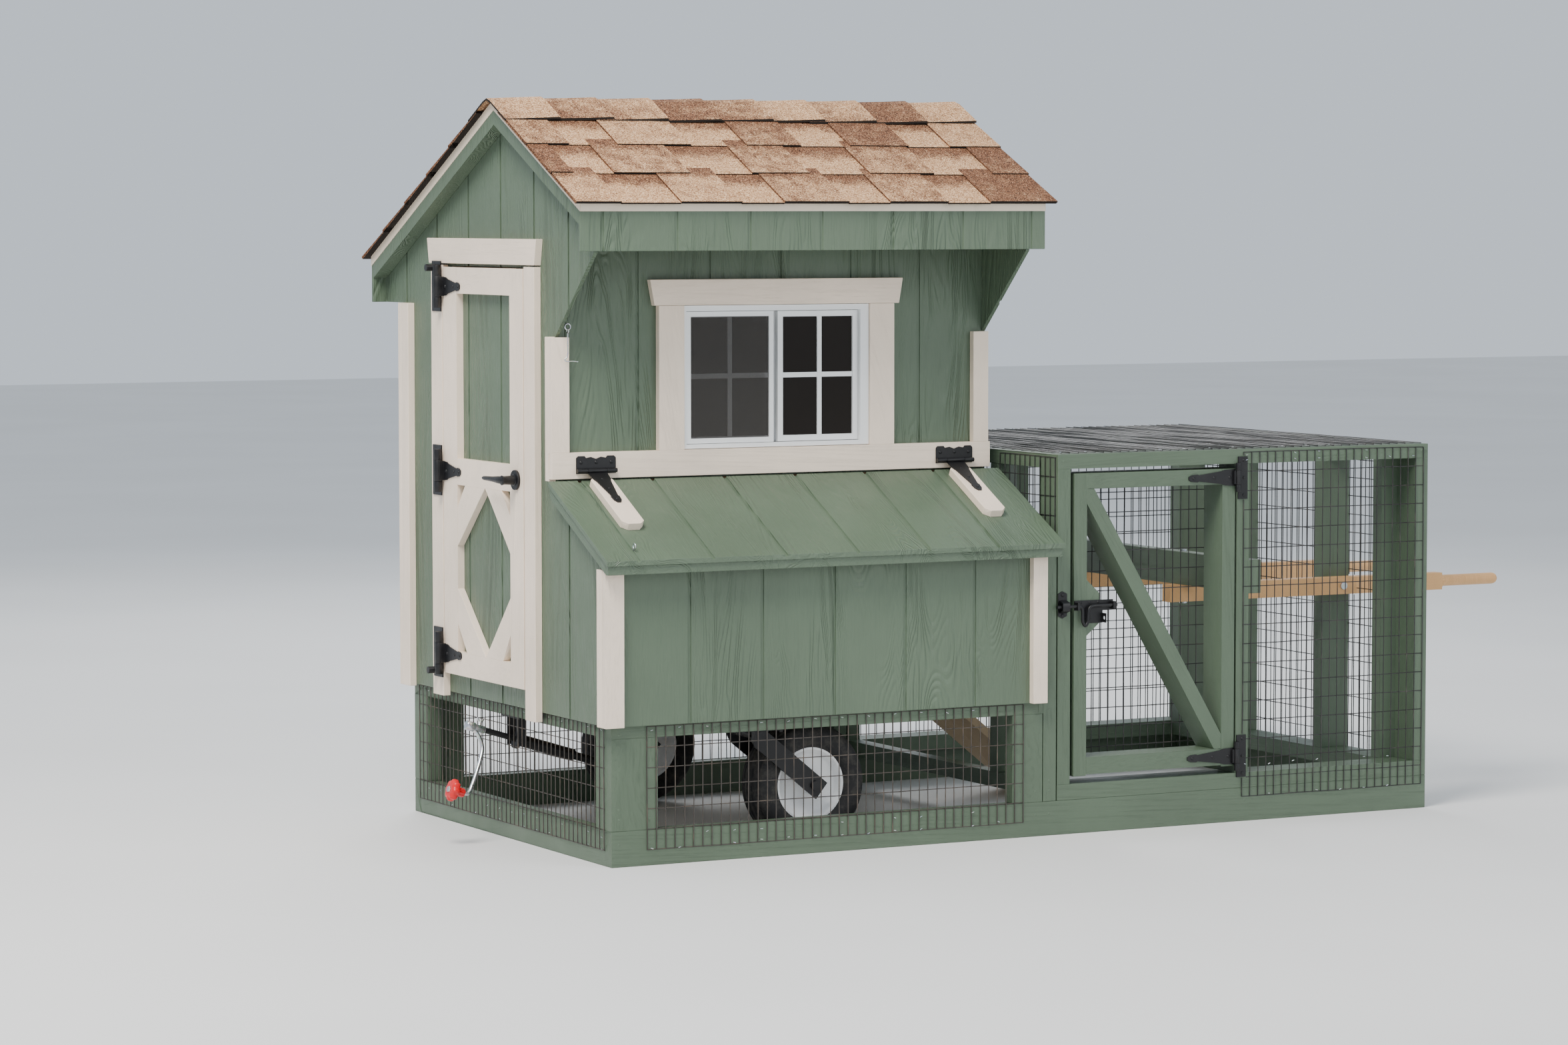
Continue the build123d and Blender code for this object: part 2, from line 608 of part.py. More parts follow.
# ---------------------------------------------------------------- run
def make_run_frame():
    front_edge = FRONT + WIDE
    back_edge = BACK - WIDE
    inner = LENGTH - WIDE
    pieces = []
    for low, high in ((SKID_TOP, RUN_LOW), (RUN_RAIL, RUN_TOP)):
        pieces.append(block(RUN_LEFT, LENGTH, FRONT, front_edge, low, high))
        pieces.append(block(RUN_LEFT, LENGTH, back_edge, BACK, low, high))
        pieces.append(block(inner, LENGTH, front_edge, back_edge, low, high))
        pieces.append(block(RUN_LEFT, RUN_LEFT + THICK, front_edge, back_edge, low, high))
    pieces.append(block(70.8, 74.3, front_edge, back_edge, RUN_RAIL, RUN_TOP))
    for y0, y1 in ((FRONT, front_edge), (back_edge, BACK)):
        for x in (RUN_LEFT, HINGE_POST, LENGTH - THICK):
            pieces.append(block(x, x + THICK, y0, y1, RUN_LOW, RUN_RAIL))
    for y in (front_edge, 2.4, 20.1, back_edge - THICK):
        pieces.append(block(inner, LENGTH, y, y + THICK, RUN_LOW, RUN_RAIL))
    pieces.append(block(RUN_LEFT, RUN_LEFT + THICK, 0, THICK, RUN_LOW, RUN_RAIL))
    pieces.append(block(CROSS_BOARD, CROSS_BOARD + THICK, FRONT, BACK, 23.75, 27.25))
    save("run_frame", pieces)


def make_handles():
    low, high = 21.9, 23.75
    handles = []
    bolts = []
    for y0, post in ((0.9, 2.4), (21.6, 21.6)):
        mid_y = y0 + THICK / 2
        mid_z = (low + high) / 2
        beam = block(72.0, 107.4, y0, y0 + THICK, low, high)
        shoulder = Solid.make_cone(
            0.98 * INCH, 0.62 * INCH, 0.5 * INCH,
            Plane(origin=Vector(107.4, mid_y, mid_z) * INCH, z_dir=(1, 0, 0)),
        )
        shoulder = shoulder & block(107.4, 108.0, y0, y0 + THICK, low, high)
        grip = rod((107.8, mid_y, mid_z), (114.6, mid_y, mid_z), 0.62)
        tip = Pos(*(Vector(114.6, mid_y, mid_z) * INCH)) * Sphere(0.6 * INCH)
        handles.append(beam + [shoulder, grip, tip])
        bolt_x = CROSS_BOARD + THICK / 2
        bolts.append(rod((bolt_x, mid_y, low), (bolt_x, mid_y, low - 0.2), 0.4))
        bolts.append(rod((bolt_x, mid_y, 27.25), (bolt_x, mid_y, 27.45), 0.4))
        outer = y0 if post > y0 else y0 + THICK
        side = -1 if post > y0 else 1
        bolts.append(rod((94.25, outer, mid_z), (94.25, outer + side * 0.2, mid_z), 0.4))
        far = post + THICK if post > y0 else post - THICK
        bolts.append(rod((94.25, far, mid_z), (94.25, far - side * 0.2, mid_z), 0.4))
    save("lift_handles", handles)
    save("handle_bolts", bolts)


def make_run_mesh():
    low, high = 2.6, 38.45
    left, right = RUN_LEFT + 0.6, LENGTH - 0.65
    front, back = FRONT + 0.4, BACK - 0.4
    slots = [block(95, 97, y - 0.1, y + 1.6, 21.75, 23.9) for y in (0.9, 21.6)]
    leaf_gaps = [block(72, 73.2, FRONT - 1, FRONT + 1, z - 2.3, z + 2.3) for z in LEAF_MIDS]
    save("run_mesh_walls", [
        lattice("Y", FRONT - WIRE, (72.65, 95.35), (low, high), leaf_gaps),
        lattice("Y", BACK, (left, right), (low, high)),
        lattice("X", LENGTH, (front, back), (low, high), slots),
        lattice("X", 50.15, (FRONT + 0.4, -0.6), (28.6, high)),
    ])
    save("run_mesh_top", [lattice("Z", RUN_TOP, (left, right), (front, back))])
    low, high = 1.55, 13.6
    save("lower_mesh", [
        lattice("Y", FRONT - WIRE, (3.8, 46.2), (low, high)),
        lattice("Y", BACK, (3.8, 46.2), (low, high)),
        lattice("X", -WIRE, (-11.0, 35.0), (low, high)),
    ])


def make_run_door():
    y0, y1 = FRONT, FRONT + WIDE
    left, right = DOOR_LEFT + 1.5, DOOR_RIGHT - 1.55
    low, high = 7.75, 35.2
    run, fall = right - left, high - low
    span = math.hypot(run, fall)
    across, down = 0.75 * span / fall, 0.75 * span / run
    save("run_door_frame", [
        block(DOOR_LEFT, left, y0, y1, DOOR_LOW, DOOR_TOP),
        block(right, DOOR_RIGHT, y0, y1, DOOR_LOW, DOOR_TOP),
        block(left, right, y0, y1, high, DOOR_TOP),
        block(left, right, y0, y1, 6.0, low),
        prism("Y", y0, y1, [
            (left, high), (left, high - down), (right - across, low),
            (right, low), (right, low + down), (left + across, high),
        ]),
        prism("Y", y0, y0 + THICK, [
            (left, 25.95), (left + 1.5, 24.57), (left + 1.5, 21.44), (left, 20.18),
        ]),
    ])
    save("run_door_mesh", [
        lattice("Y", y1, (DOOR_LEFT + 0.4, DOOR_RIGHT - 0.4), (6.3, 36.5)),
    ])

    pin_x, pin_y = 71.78, -12.4
    hardware = []
    leaves = []
    for z, leaf_mid in zip((35.9, 6.9), LEAF_MIDS):
        sleeve, pin = knuckles(pin_x, pin_y, z, 0.28, 1.5, 0.75)
        strap = prism("Y", FRONT - 0.12, FRONT, [(71.6 - a, z + b) for a, b in strap_outline(5.7, 0.88)])
        web = block(71.3, 71.6, pin_y, FRONT - 0.02, z - 0.7, z + 0.7)
        bore = rod((pin_x, pin_y, z - 2), (pin_x, pin_y, z + 2), 0.28 * 0.4 + RUNNING_GAP)
        hardware.append(sleeve + [strap, web] - bore)
        leaf = block(71.95, 73.1, FRONT - 0.12, FRONT, leaf_mid - 2.2, leaf_mid + 2.2)
        for side in (-1, 1):
            z_low = min(z + side * 0.78, z + side * 1.5)
            leaf = leaf + block(71.95, 72.2, pin_y, FRONT - 0.02, z_low, z_low + 0.72)
            leaf = leaf + block(pin_x, 72.2, pin_y - 0.1, pin_y + 0.1, z_low, z_low + 0.72)
        leaves.append(leaf + pin)

    bolt_z = 23.3
    bolt_y = FRONT - 0.45
    bolt_r = 0.18
    plate = prism("Y", FRONT - 0.1, FRONT, [
        (DOOR_LEFT, 22.85), (53.2, 22.85), (53.55, 21.5), (55.55, 21.5), (55.55, 22.85),
        (56.8, 22.85), (56.8, 23.85), (DOOR_LEFT, 23.85),
    ])
    latch_bore = rod((49, bolt_y, bolt_z), (58, bolt_y, bolt_z), bolt_r + RUNNING_GAP)
    guides = [
        block(a, b, bolt_y - 0.3, FRONT - 0.05, bolt_z - 0.38, bolt_z + 0.38)
        for a, b in ((52.22, 52.5), (56.45, 56.75))
    ]
    lock_tab = block(55.45, 55.55, FRONT - 0.85, FRONT - 0.05, 21.55, 22.5)
    lock_tab = lock_tab - rod((55, FRONT - 0.5, 22.02), (56, FRONT - 0.5, 22.02), 0.2)
    hardware.append((plate + guides + [lock_tab]) - latch_bore)
    save("run_door_hardware", hardware)
    path = [(49.9, bolt_z), (52.7, bolt_z), (52.95, 22.9), (52.97, 21.65), (53.12, 21.35), (53.42, 21.35),
            (53.57, 21.65), (53.62, 22.8), (53.9, bolt_z), (57.0, bolt_z)]
    save("latch_bolt", [bent_rod([(x, bolt_y, z) for x, z in path], bolt_r)])

    keeper = prism("Y", FRONT - 0.1, FRONT, [
        (50.25, 22.35), (50.77, 22.1), (51.3, 22.35), (51.3, 24.62), (50.77, 24.87), (50.25, 24.62),
    ])
    for z in (bolt_z + 0.3, bolt_z - 0.5):
        keeper = keeper + block(50.4, 51.25, FRONT - 0.8, FRONT - 0.05, z, z + 0.2)
    return leaves, keeper


# ---------------------------------------------------------------- wheels and jack
def fork_arm(y0, y1):
    """One flat arm of the axle, from the turning shaft to past the hub."""
    (sx, sz), (hx, hz) = AXLE_SHAFT, HUB
    length = math.hypot(hx - sx, hz - sz)
    ux, uz = (hx - sx) / length, (hz - sz) / length
    half = 1.0

    def place(along, off):
        return (sx + ux * along - uz * off, sz + uz * along + ux * off)

    end = length + 0.95
    return prism("Y", y0, y1, [place(-0.4, half / 2), place(0.8, half), place(end, half),
                               place(end, -half), place(0.8, -half), place(-0.4, -half / 2)])


def make_axle():
    sx, sz = AXLE_SHAFT
    hx, hz = HUB
    shaft = rod((sx, -11.0, sz), (sx, 35.0, sz), 0.45)
    parts = []
    bolts = []
    for y in WHEELS_Y:
        out = FORK_IN + FORK_THICK
        parts.append(fork_arm(y - out, y - FORK_IN))
        parts.append(fork_arm(y + FORK_IN, y + out))
        bolts.append(rod((hx, y - out, hz), (hx, y + out, hz), 0.31))
        for side in (-1, 1):
            bolts.append(rod((hx, y + side * out, hz), (hx, y + side * (out + 0.25), hz), 0.5))
    ex, ez = LEVER_PIN
    length = math.hypot(ex - sx, ez - sz)
    ux, uz = (ex - sx) / length, (ez - sz) / length
    lever = prism("Y", JACK_Y - 0.15, JACK_Y + 0.15, [
        (sx - uz * 0.6, sz + ux * 0.6), (ex - uz * 0.6 + ux * 0.5, ez + ux * 0.6 + uz * 0.5),
        (ex + uz * 0.6 + ux * 0.5, ez - ux * 0.6 + uz * 0.5), (sx + uz * 0.6, sz - ux * 0.6),
    ])
    pin = rod((ex, JACK_Y - 0.75, ez), (ex, JACK_Y + 0.75, ez), 0.25)
    save("axle_arms", [shaft + parts + bolts + [lever, pin]])

    for name, y in zip(("front", "rear"), WHEELS_Y):
        centre = Plane(origin=Vector(hx, y, hz) * INCH, z_dir=(0, 1, 0))

        def disc(radius, half):
            return Solid.make_cylinder(radius * INCH, 2 * half * INCH, centre.offset(-half * INCH))

        hub = disc(0.85, FORK_IN - 0.1)
        web = disc(RIM_R - 0.2, 0.25)
        drum = disc(RIM_R, 1.5) - disc(RIM_R - 0.35, 2)
        bore = disc(0.31 + RUNNING_GAP, 3)
        save(f"rim_{name}", [hub + [web, drum] - bore])
        section = Plane(origin=Vector(hx, y, hz) * INCH, x_dir=(1, 0, 0), z_dir=(0, 0, 1))
        half = TYRE_WIDE / 2
        r0, r1 = RIM_R, TYRE_R
        outline = [(r0, -half * 0.6), (r0 + 0.3, -half * 0.8), (r0 + 1.2, -half), (r1 - 0.5, -half * 0.85),
                   (r1, -half * 0.4), (r1, half * 0.4), (r1 - 0.5, half * 0.85), (r0 + 1.2, half),
                   (r0 + 0.3, half * 0.8), (r0, half * 0.6)]
        points = [section.from_local_coords(Vector(a, b, 0) * INCH) for a, b in outline]
        face = Face(Wire.make_polygon(points, close=True))
        spin = Axis((hx * INCH, y * INCH, hz * INCH), (0, 1, 0))
        save(f"tyre_{name}", [revolve(face, spin, 360)])

    brackets = []
    for y, reach, bolt in ((-10.6, 2.9, 2.3), (34.2, 2.9, 2.3), (10.2, 1.55, 1.15), (13.8, 1.55, 1.15)):
        hat = block(sx - 0.75, sx + 0.75, y - 0.35, y + 0.35, sz - 0.65, PLATE_LOW)
        feet = block(sx - reach, sx + reach, y - 0.35, y + 0.35, PLATE_LOW - 0.2, PLATE_LOW)
        bore = rod((sx, y - 1, sz), (sx, y + 1, sz), 0.45 + RUNNING_GAP)
        heads = [
            rod((sx + s * bolt, y, PLATE_LOW - 0.2), (sx + s * bolt, y, PLATE_LOW - 0.4), 0.28)
            for s in (-1, 1)
        ]
        brackets.append(hat + [feet] + heads - bore)
    px, pz = JACK_PIVOT
    hanger = block(px - 0.7, px + 1.6, JACK_Y - 2.2, JACK_Y + 2.2, PLATE_LOW - 0.2, PLATE_LOW)
    for side in (-1, 1):
        y = JACK_Y + side * 1.2
        hanger = hanger + block(px - 0.5, px + 0.5, y - 0.12, y + 0.12, pz - 0.6, PLATE_LOW)
    hanger = hanger - rod((px, JACK_Y - 3, pz), (px, JACK_Y + 3, pz), 0.25 + RUNNING_GAP)
    save("axle_brackets", brackets + [hanger])


def make_jack():
    px, pz = JACK_PIVOT
    ex, ez = LEVER_PIN
    tilt = math.degrees(math.atan2(pz - ez, ex - px))
    reach = math.hypot(ex - px, pz - ez)
    home = Location((px * INCH, JACK_Y * INCH, pz * INCH), (0, tilt, 0))

    def along(x0, x1, radius):
        return rod((x0, 0, 0), (x1, 0, 0), radius)

    collar = along(-0.15, 0.25, 0.95) + rod((0, -1.35, 0), (0, 1.35, 0), 0.25)
    tube = collar + along(0.1, 6.6, 0.62)
    tube = tube - [along(-1, 0.6, 0.3 + RUNNING_GAP), along(0.6, 8, 0.42 + RUNNING_GAP)]
    save("jack_tube", [home * tube])

    screw_r = 0.2
    slide = along(3.2, reach - 1.2, 0.42) - along(3.0, 9.8, screw_r + RUNNING_GAP)
    ears = [block(reach - 1.3, reach + 0.75, y - 0.1, y + 0.1, -0.75, 0.75) for y in (-0.45, 0.45)]
    bridge = block(reach - 1.5, reach - 1.2, -0.55, 0.55, -0.5, 0.5)
    slide = slide + ears + [bridge]
    slide = slide - rod((reach, -2, 0), (reach, 2, 0), 0.5)
    save("jack_rod", [home * slide])

    home = home * Rot(CRANK_TURN, 0, 0)
    shaft = along(-5.0, 0.5, 0.3) + along(0.4, 6.4, screw_r)
    sleeve = along(-5.85, -4.9, 0.48) + along(-5.0, -3.7, 0.37)
    arm = bent_rod([(-5.2, 0, 0), (-4.35, 0, -0.65), (-3.7, 0, -1.75), (-4.0, 0, -3.9),
                    (-4.55, 0, -6.3), (-4.8, 0, -7.0), (-5.2, 0, CRANK_GRIP), (-7.1, 0, CRANK_GRIP)], 0.2)
    wing = rod((-4.3, 0, 0.2), (-4.3, 0, 0.9), 0.12) + block(-4.65, -3.95, -0.06, 0.06, 0.7, 1.15)
    save("crank_rod", [home * (shaft + [sleeve, arm, wing])])

    def turned(x0, x1, y, z, radius):
        return rod((x0, y, CRANK_GRIP + z), (x1, y, CRANK_GRIP + z), radius)

    knob = turned(-5.3, -6.2, 0, 0, 0.42) + turned(-6.1, -7.0, 0, 0, 0.9)
    for i in range(8):
        turn = math.radians(45 * i)
        knob = knob + turned(-6.15, -6.95, 0.78 * math.cos(turn), 0.78 * math.sin(turn), 0.34)
    knob = knob - turned(-5, -8, 0, 0, 0.2 + RUNNING_GAP)
    save("crank_knob", [home * knob])


# ---------------------------------------------------------------- inside the house
def make_inside():
    save("roost_bars", [
        block(x, x + THICK, THICK, BACK - THICK, 36.0, 37.5) for x in (23.25, 35.25)
    ])
    lift = 12.6
    low, high = 14.9, 28.2
    save("pop_door", [block(47.6, 47.95, 14.1, 23.9, low + lift, high + lift)])
    save("pop_door_guides", [
        block(47.2, 47.55, y, y + 0.6, FLOOR_TOP, 42.0) for y in (14.0, 23.4)
    ] + [block(47.2, 47.95, 14.0, 24.0, 42.0, 43.0)])
    foot, head = (66.0, 0.9), (48.45, 15.2)
    length = math.hypot(foot[0] - head[0], head[1] - foot[1])
    ux, uz = (foot[0] - head[0]) / length, (foot[1] - head[1]) / length

    def place(along, off):
        return (head[0] + ux * along - uz * off, head[1] + uz * along + ux * off)

    board = [place(0, 0), (head[0], head[1] - 1.18), place(length, -0.75), place(length, 0)]
    ramp = [prism("Y", 14.0, 24.0, board)]
    for i in range(6):
        a = 2.2 + 3.3 * i
        ramp.append(prism("Y", 14.5, 23.5, [place(a, 0), place(a + 0.7, 0), place(a + 0.7, 0.4), place(a, 0.4)]))
    save("ramp", ramp)


def main():
    make_base()
    make_framing()
    make_roof()
    make_siding()
    make_trim()
    make_window()
    leaves = make_house_door()
    leaves += make_nest_lid()
    hook_eye = make_lid_hook()
    make_run_frame()
    make_handles()
    make_run_mesh()
    run_leaves, keeper = make_run_door()
    save("hinge_leaves", leaves + run_leaves)
    save("catch_keepers", [keeper, hook_eye])
    make_axle()
    make_jack()
    make_inside()

    whole = Compound(children=[Compound(solids) for solids in NODES.values()])
    box = whole.bounding_box()
    shift = Pos(-(box.min.X + box.max.X) / 2, -(box.min.Y + box.max.Y) / 2, -box.min.Z)
    os.makedirs("parts", exist_ok=True)
    for name, solids in NODES.items():
        export_step(shift * Compound(solids), f"parts/{name}.step")
    size = box.size / INCH
    print("nodes", len(NODES), "size in inches", [round(v, 3) for v in size])
    print("origin moved by, in inches", [round(v / INCH, 4) for v in shift.position])


main()
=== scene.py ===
import math
import random

import bpy
import numpy as np
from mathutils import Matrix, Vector


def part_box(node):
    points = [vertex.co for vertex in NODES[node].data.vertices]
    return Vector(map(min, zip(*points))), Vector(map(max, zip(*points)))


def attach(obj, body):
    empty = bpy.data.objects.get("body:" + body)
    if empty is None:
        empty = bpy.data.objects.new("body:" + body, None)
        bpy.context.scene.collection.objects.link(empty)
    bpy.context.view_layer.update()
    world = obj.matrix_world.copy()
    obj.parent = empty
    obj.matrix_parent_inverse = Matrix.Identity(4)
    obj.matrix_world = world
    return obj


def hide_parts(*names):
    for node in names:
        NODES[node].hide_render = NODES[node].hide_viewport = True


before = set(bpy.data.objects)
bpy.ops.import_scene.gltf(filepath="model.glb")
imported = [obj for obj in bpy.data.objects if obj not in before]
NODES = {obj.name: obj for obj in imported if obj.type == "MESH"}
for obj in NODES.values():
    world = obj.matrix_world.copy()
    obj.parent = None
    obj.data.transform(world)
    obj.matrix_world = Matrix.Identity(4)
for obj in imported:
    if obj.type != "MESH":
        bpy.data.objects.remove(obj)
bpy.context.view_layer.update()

INCH = 0.0254

# The coop's own inch frame: its origin is the house's left front frame corner on the ground,
# twelve inches in from the front of the skids.
NEST_DEEP = 12.0
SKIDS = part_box("base_skids")
CORNER = Vector((SKIDS[0].x, SKIDS[0].y + NEST_DEEP * INCH, 0.0))

# sizes shared with the CAD, in inches
RIDGE_Y = 10.45
RIDGE_Z = 73.47
ROOF_SLOPE = 0.5
DECK_TOP = 1.05
SIDING = 0.4
FRONT = -12.0
BACK = 36.0
LENGTH = 96.0
RUN_TOP = 38.8
WIRE_R = 0.052
WIRE_OUT = 0.04
STAPLE_OUT = 0.12
DOOR_HINGE_Z = (55.7, 36.7, 17.8)
RUN_LEAF_Z = (35.83, 6.86)
RUN_STRAP_Z = (35.9, 6.9)
LID_HINGE_X = (3.6, 44.3)
LID_UP_SLOPE = (0, 0.886, 0.463)
LID_OUT = (0, -0.463, 0.886)
HUB = (23.6, 6.4)
WHEELS_Y = (("front", -6.9), ("rear", 30.5))


def at(x, y, z):
    """A point given in the coop's own inches, in the row frame's metres."""
    return CORNER + Vector((x, y, z)) * INCH


# ---------------------------------------------------------------- materials
class Shader:
    """A material being put together, with short calls for the nodes used here."""

    def __init__(self, name, rough, metal=0.0, colour=(0.5, 0.5, 0.5), specular=0.5):
        self.mat = bpy.data.materials.new(name)
        self.mat.use_nodes = True
        self.tree = self.mat.node_tree
        self.bsdf = self.tree.nodes["Principled BSDF"]
        self.bsdf.inputs["Roughness"].default_value = rough
        self.bsdf.inputs["Metallic"].default_value = metal
        self.bsdf.inputs["Base Color"].default_value = (*colour, 1)
        self.bsdf.inputs["Specular IOR Level"].default_value = specular
        self.place = self.node("ShaderNodeTexCoord").outputs["Object"]

    def node(self, kind, **settings):
        made = self.tree.nodes.new(kind)
        for key, value in settings.items():
            setattr(made, key, value)
        return made

    def link(self, source, target):
        self.tree.links.new(source, target)

    def attribute(self, name):
        return self.node("ShaderNodeAttribute", attribute_name=name)

    def stretched(self, vector, scale):
        mapping = self.node("ShaderNodeMapping")
        mapping.inputs["Scale"].default_value = scale
        self.link(vector, mapping.inputs["Vector"])
        return mapping.outputs["Vector"]

    def noise(self, vector, scale, detail=4.0, rough=0.55, distortion=0.0):
        made = self.node("ShaderNodeTexNoise")
        made.inputs["Scale"].default_value = scale
        made.inputs["Detail"].default_value = detail
        made.inputs["Roughness"].default_value = rough
        made.inputs["Distortion"].default_value = distortion
        self.link(vector, made.inputs["Vector"])
        return made.outputs["Fac"]

    def ramp(self, value, stops):
        made = self.node("ShaderNodeValToRGB")
        elements = made.color_ramp.elements
        while len(elements) < len(stops):
            elements.new(0.5)
        for element, (position, colour) in zip(elements, stops):
            element.position = position
            element.color = (*colour, 1)
        self.link(value, made.inputs["Fac"])
        return made.outputs["Color"]

    def spread(self, value, low, high, out_low=0.0, out_high=1.0):
        made = self.node("ShaderNodeMapRange")
        for key, number in (("From Min", low), ("From Max", high), ("To Min", out_low), ("To Max", out_high)):
            made.inputs[key].default_value = number
        self.link(value, made.inputs["Value"])
        return made.outputs["Result"]

    def mix(self, factor, first, second, blend="MIX"):
        made = self.node("ShaderNodeMix", data_type="RGBA", blend_type=blend)
        for socket, value in ((made.inputs[0], factor), (made.inputs[6], first), (made.inputs[7], second)):
            if isinstance(value, (int, float)):
                socket.default_value = value
            elif isinstance(value, tuple):
                socket.default_value = (*value, 1)
            else:
                self.link(value, socket)
        return made.outputs[2]

    def math(self, operation, first, second):
        made = self.node("ShaderNodeMath", operation=operation)
        for socket, value in zip(made.inputs, (first, second)):
            if isinstance(value, (int, float)):
                socket.default_value = value
            else:
                self.link(value, socket)
        return made.outputs[0]

    def bump(self, height, distance, strength=1.0):
        made = self.node("ShaderNodeBump")
        made.inputs["Strength"].default_value = strength
        made.inputs["Distance"].default_value = distance
        self.link(height, made.inputs["Height"])
        return made.outputs["Normal"]

    def finish(self, colour=None, rough=None, normal=None, alpha=None):
        pairs = (("Base Color", colour), ("Roughness", rough), ("Normal", normal), ("Alpha", alpha))
        for name, value in pairs:
            if value is not None:
                self.link(value, self.bsdf.inputs[name])
        return self.mat


def painted_wood(name, colour, relief_mm, rough=0.42, crease_shade=0.3, arch=1.0):
    """Satin paint over embossed wood grain, which runs along the first axis of the grain attribute."""
    s = Shader(name, rough)
    grain = s.attribute("grain").outputs["Vector"]
    field = s.noise(s.stretched(grain, (1.5, 9.0, 9.0)), 1.0, 2, 0.45, 0.7)
    lines = s.spread(s.math("PINGPONG", s.math("MULTIPLY", field, 26.0), 0.5), 0.0, 0.5)
    ridges = s.spread(lines, 0.1, 0.75)
    fibres = s.noise(s.stretched(grain, (14, 190, 190)), 1.0, 4, 0.6, 0.4)
    patch = s.spread(s.noise(s.stretched(grain, (2.2, 6.0, 6.0)), 1.0, 2), 0.42, 0.62, 0.15, 1.0)
    relief = s.math("MULTIPLY", ridges, s.math("MULTIPLY", patch, arch))
    height = s.math("ADD", relief, s.math("MULTIPLY", fibres, 0.8))
    dark = tuple(c * 0.9 for c in colour)
    light = tuple(min(1.0, c * 1.06) for c in colour)
    base = s.ramp(s.noise(s.place, 2.6, 4, 0.6), [(0.3, dark), (0.7, light)])
    # painted shade: the low spots of the grain relief are darkened towards a darker sage, as shade in its
    # creases
    painted_crease_shade = s.spread(fibres, 0.28, 0.46, crease_shade, 0.0)
    base = s.mix(painted_crease_shade, base, tuple(c * 0.55 for c in colour))
    shine = s.spread(s.noise(s.place, 11.0, 3), 0.3, 0.7, rough - 0.06, rough + 0.1)
    return s.finish(base, shine, s.bump(height, relief_mm * 0.001))


def bare_wood(name, pale, dark, rough):
    """Unfinished pine with rings and fine fibres along the grain."""
    s = Shader(name, rough)
    grain = s.attribute("grain").outputs["Vector"]
    waves = s.noise(s.stretched(grain, (1.6, 34, 34)), 1.0, 3, 0.45, 1.2)
    rings = s.spread(s.math("PINGPONG", s.math("MULTIPLY", waves, 9.0), 0.5), 0.0, 0.5)
    fibres = s.noise(s.stretched(grain, (12, 420, 420)), 1.0, 4, 0.6)
    tone = s.mix(s.spread(rings, 0.35, 1.0, 0.0, 0.75), pale, dark)
    tone = s.mix(s.spread(fibres, 0.3, 0.7, 0.0, 0.3), tone, tuple(c * 0.7 for c in dark))
    return s.finish(tone, None, s.bump(fibres, 0.0006))


def strand_board():
    """Pressed strands: stretched cells, each with its own tone."""
    s = Shader("strand_board", 0.75)
    cells = s.node("ShaderNodeTexVoronoi")
    cells.inputs["Scale"].default_value = 1.0
    s.link(s.stretched(s.place, (30, 75, 75)), cells.inputs["Vector"])
    tone = s.ramp(cells.outputs["Color"], [(0.2, (0.42, 0.29, 0.15)), (0.8, (0.66, 0.50, 0.30))])
    return s.finish(tone, None, s.bump(cells.outputs["Distance"], 0.001))


def metal_paint(name, colour, rough, lumps=0.0001, specular=0.5, grime=None):
    """Powder coat or enamel on metal: fine orange peel, and a little grey dust."""
    s = Shader(name, rough, specular=specular)
    peel = s.noise(s.place, 900.0, 2)
    dust = s.spread(s.noise(s.place, 23.0, 5, 0.65), 0.52, 0.75)
    base = s.mix(s.math("MULTIPLY", dust, 0.35), colour, grime or tuple(c * 0.6 + 0.05 for c in colour))
    shine = s.spread(dust, 0.0, 1.0, rough, min(1.0, rough + 0.22))
    return s.finish(base, shine, s.bump(peel, lumps))


def plated(name, colour):
    """Zinc plating: bright metal with cloudy roughness and faint spangle."""
    rough = 0.28
    s = Shader(name, rough, metal=1.0, colour=colour)
    spangle = s.node("ShaderNodeTexVoronoi")
    spangle.inputs["Scale"].default_value = 380.0
    s.link(s.place, spangle.inputs["Vector"])
    tone = s.mix(0.25, colour, spangle.outputs["Color"], "OVERLAY")
    cloudy = s.spread(s.noise(s.place, 60.0, 4), 0.3, 0.7, rough - 0.08, rough + 0.18)
    return s.finish(tone, cloudy, s.bump(s.noise(s.place, 300.0, 3), 0.0001))


def shingle_granules():
    """Mineral granules on asphalt. The tone attribute is tan at 0, brown at 1 and a near-black painted shadow
    line at 2.
    """
    s = Shader("shingle_granules", 0.92, specular=0.25)
    tone = s.attribute("tone").outputs["Fac"]
    grains = s.node("ShaderNodeTexVoronoi")
    grains.inputs["Scale"].default_value = 430.0
    s.link(s.place, grains.inputs["Vector"])
    speck = s.node("ShaderNodeSeparateColor")
    s.link(grains.outputs["Color"], speck.inputs["Color"])
    tan = s.ramp(speck.outputs[0], [
        (0.0, (0.13, 0.06, 0.027)),
        (0.25, (0.41, 0.22, 0.105)),
        (0.7, (0.58, 0.35, 0.19)),
        (1.0, (0.82, 0.57, 0.36)),
    ])
    brown = s.ramp(speck.outputs[1], [
        (0.0, (0.025, 0.011, 0.006)),
        (0.4, (0.12, 0.050, 0.024)),
        (0.85, (0.25, 0.115, 0.058)),
        (1.0, (0.44, 0.25, 0.15)),
    ])
    dither = s.spread(speck.outputs[2], 0.0, 1.0, -0.22, 0.22)
    drift = s.spread(s.noise(s.place, 26.0, 3), 0.3, 0.7, -0.2, 0.2)
    ragged = s.math("ADD", s.math("ADD", tone, dither), drift)
    base = s.mix(s.spread(ragged, 0.3, 0.7), tan, brown)
    # painted shadow: tones from 1.3 to 1.6 turn near-black, the shadow line under shingle and cap edges
    base = s.mix(s.spread(tone, 1.3, 1.6), base, (0.018, 0.013, 0.01))
    height = s.math("SUBTRACT", 1.0, grains.outputs["Distance"])
    return s.finish(base, None, s.bump(height, 0.0012, 0.8))


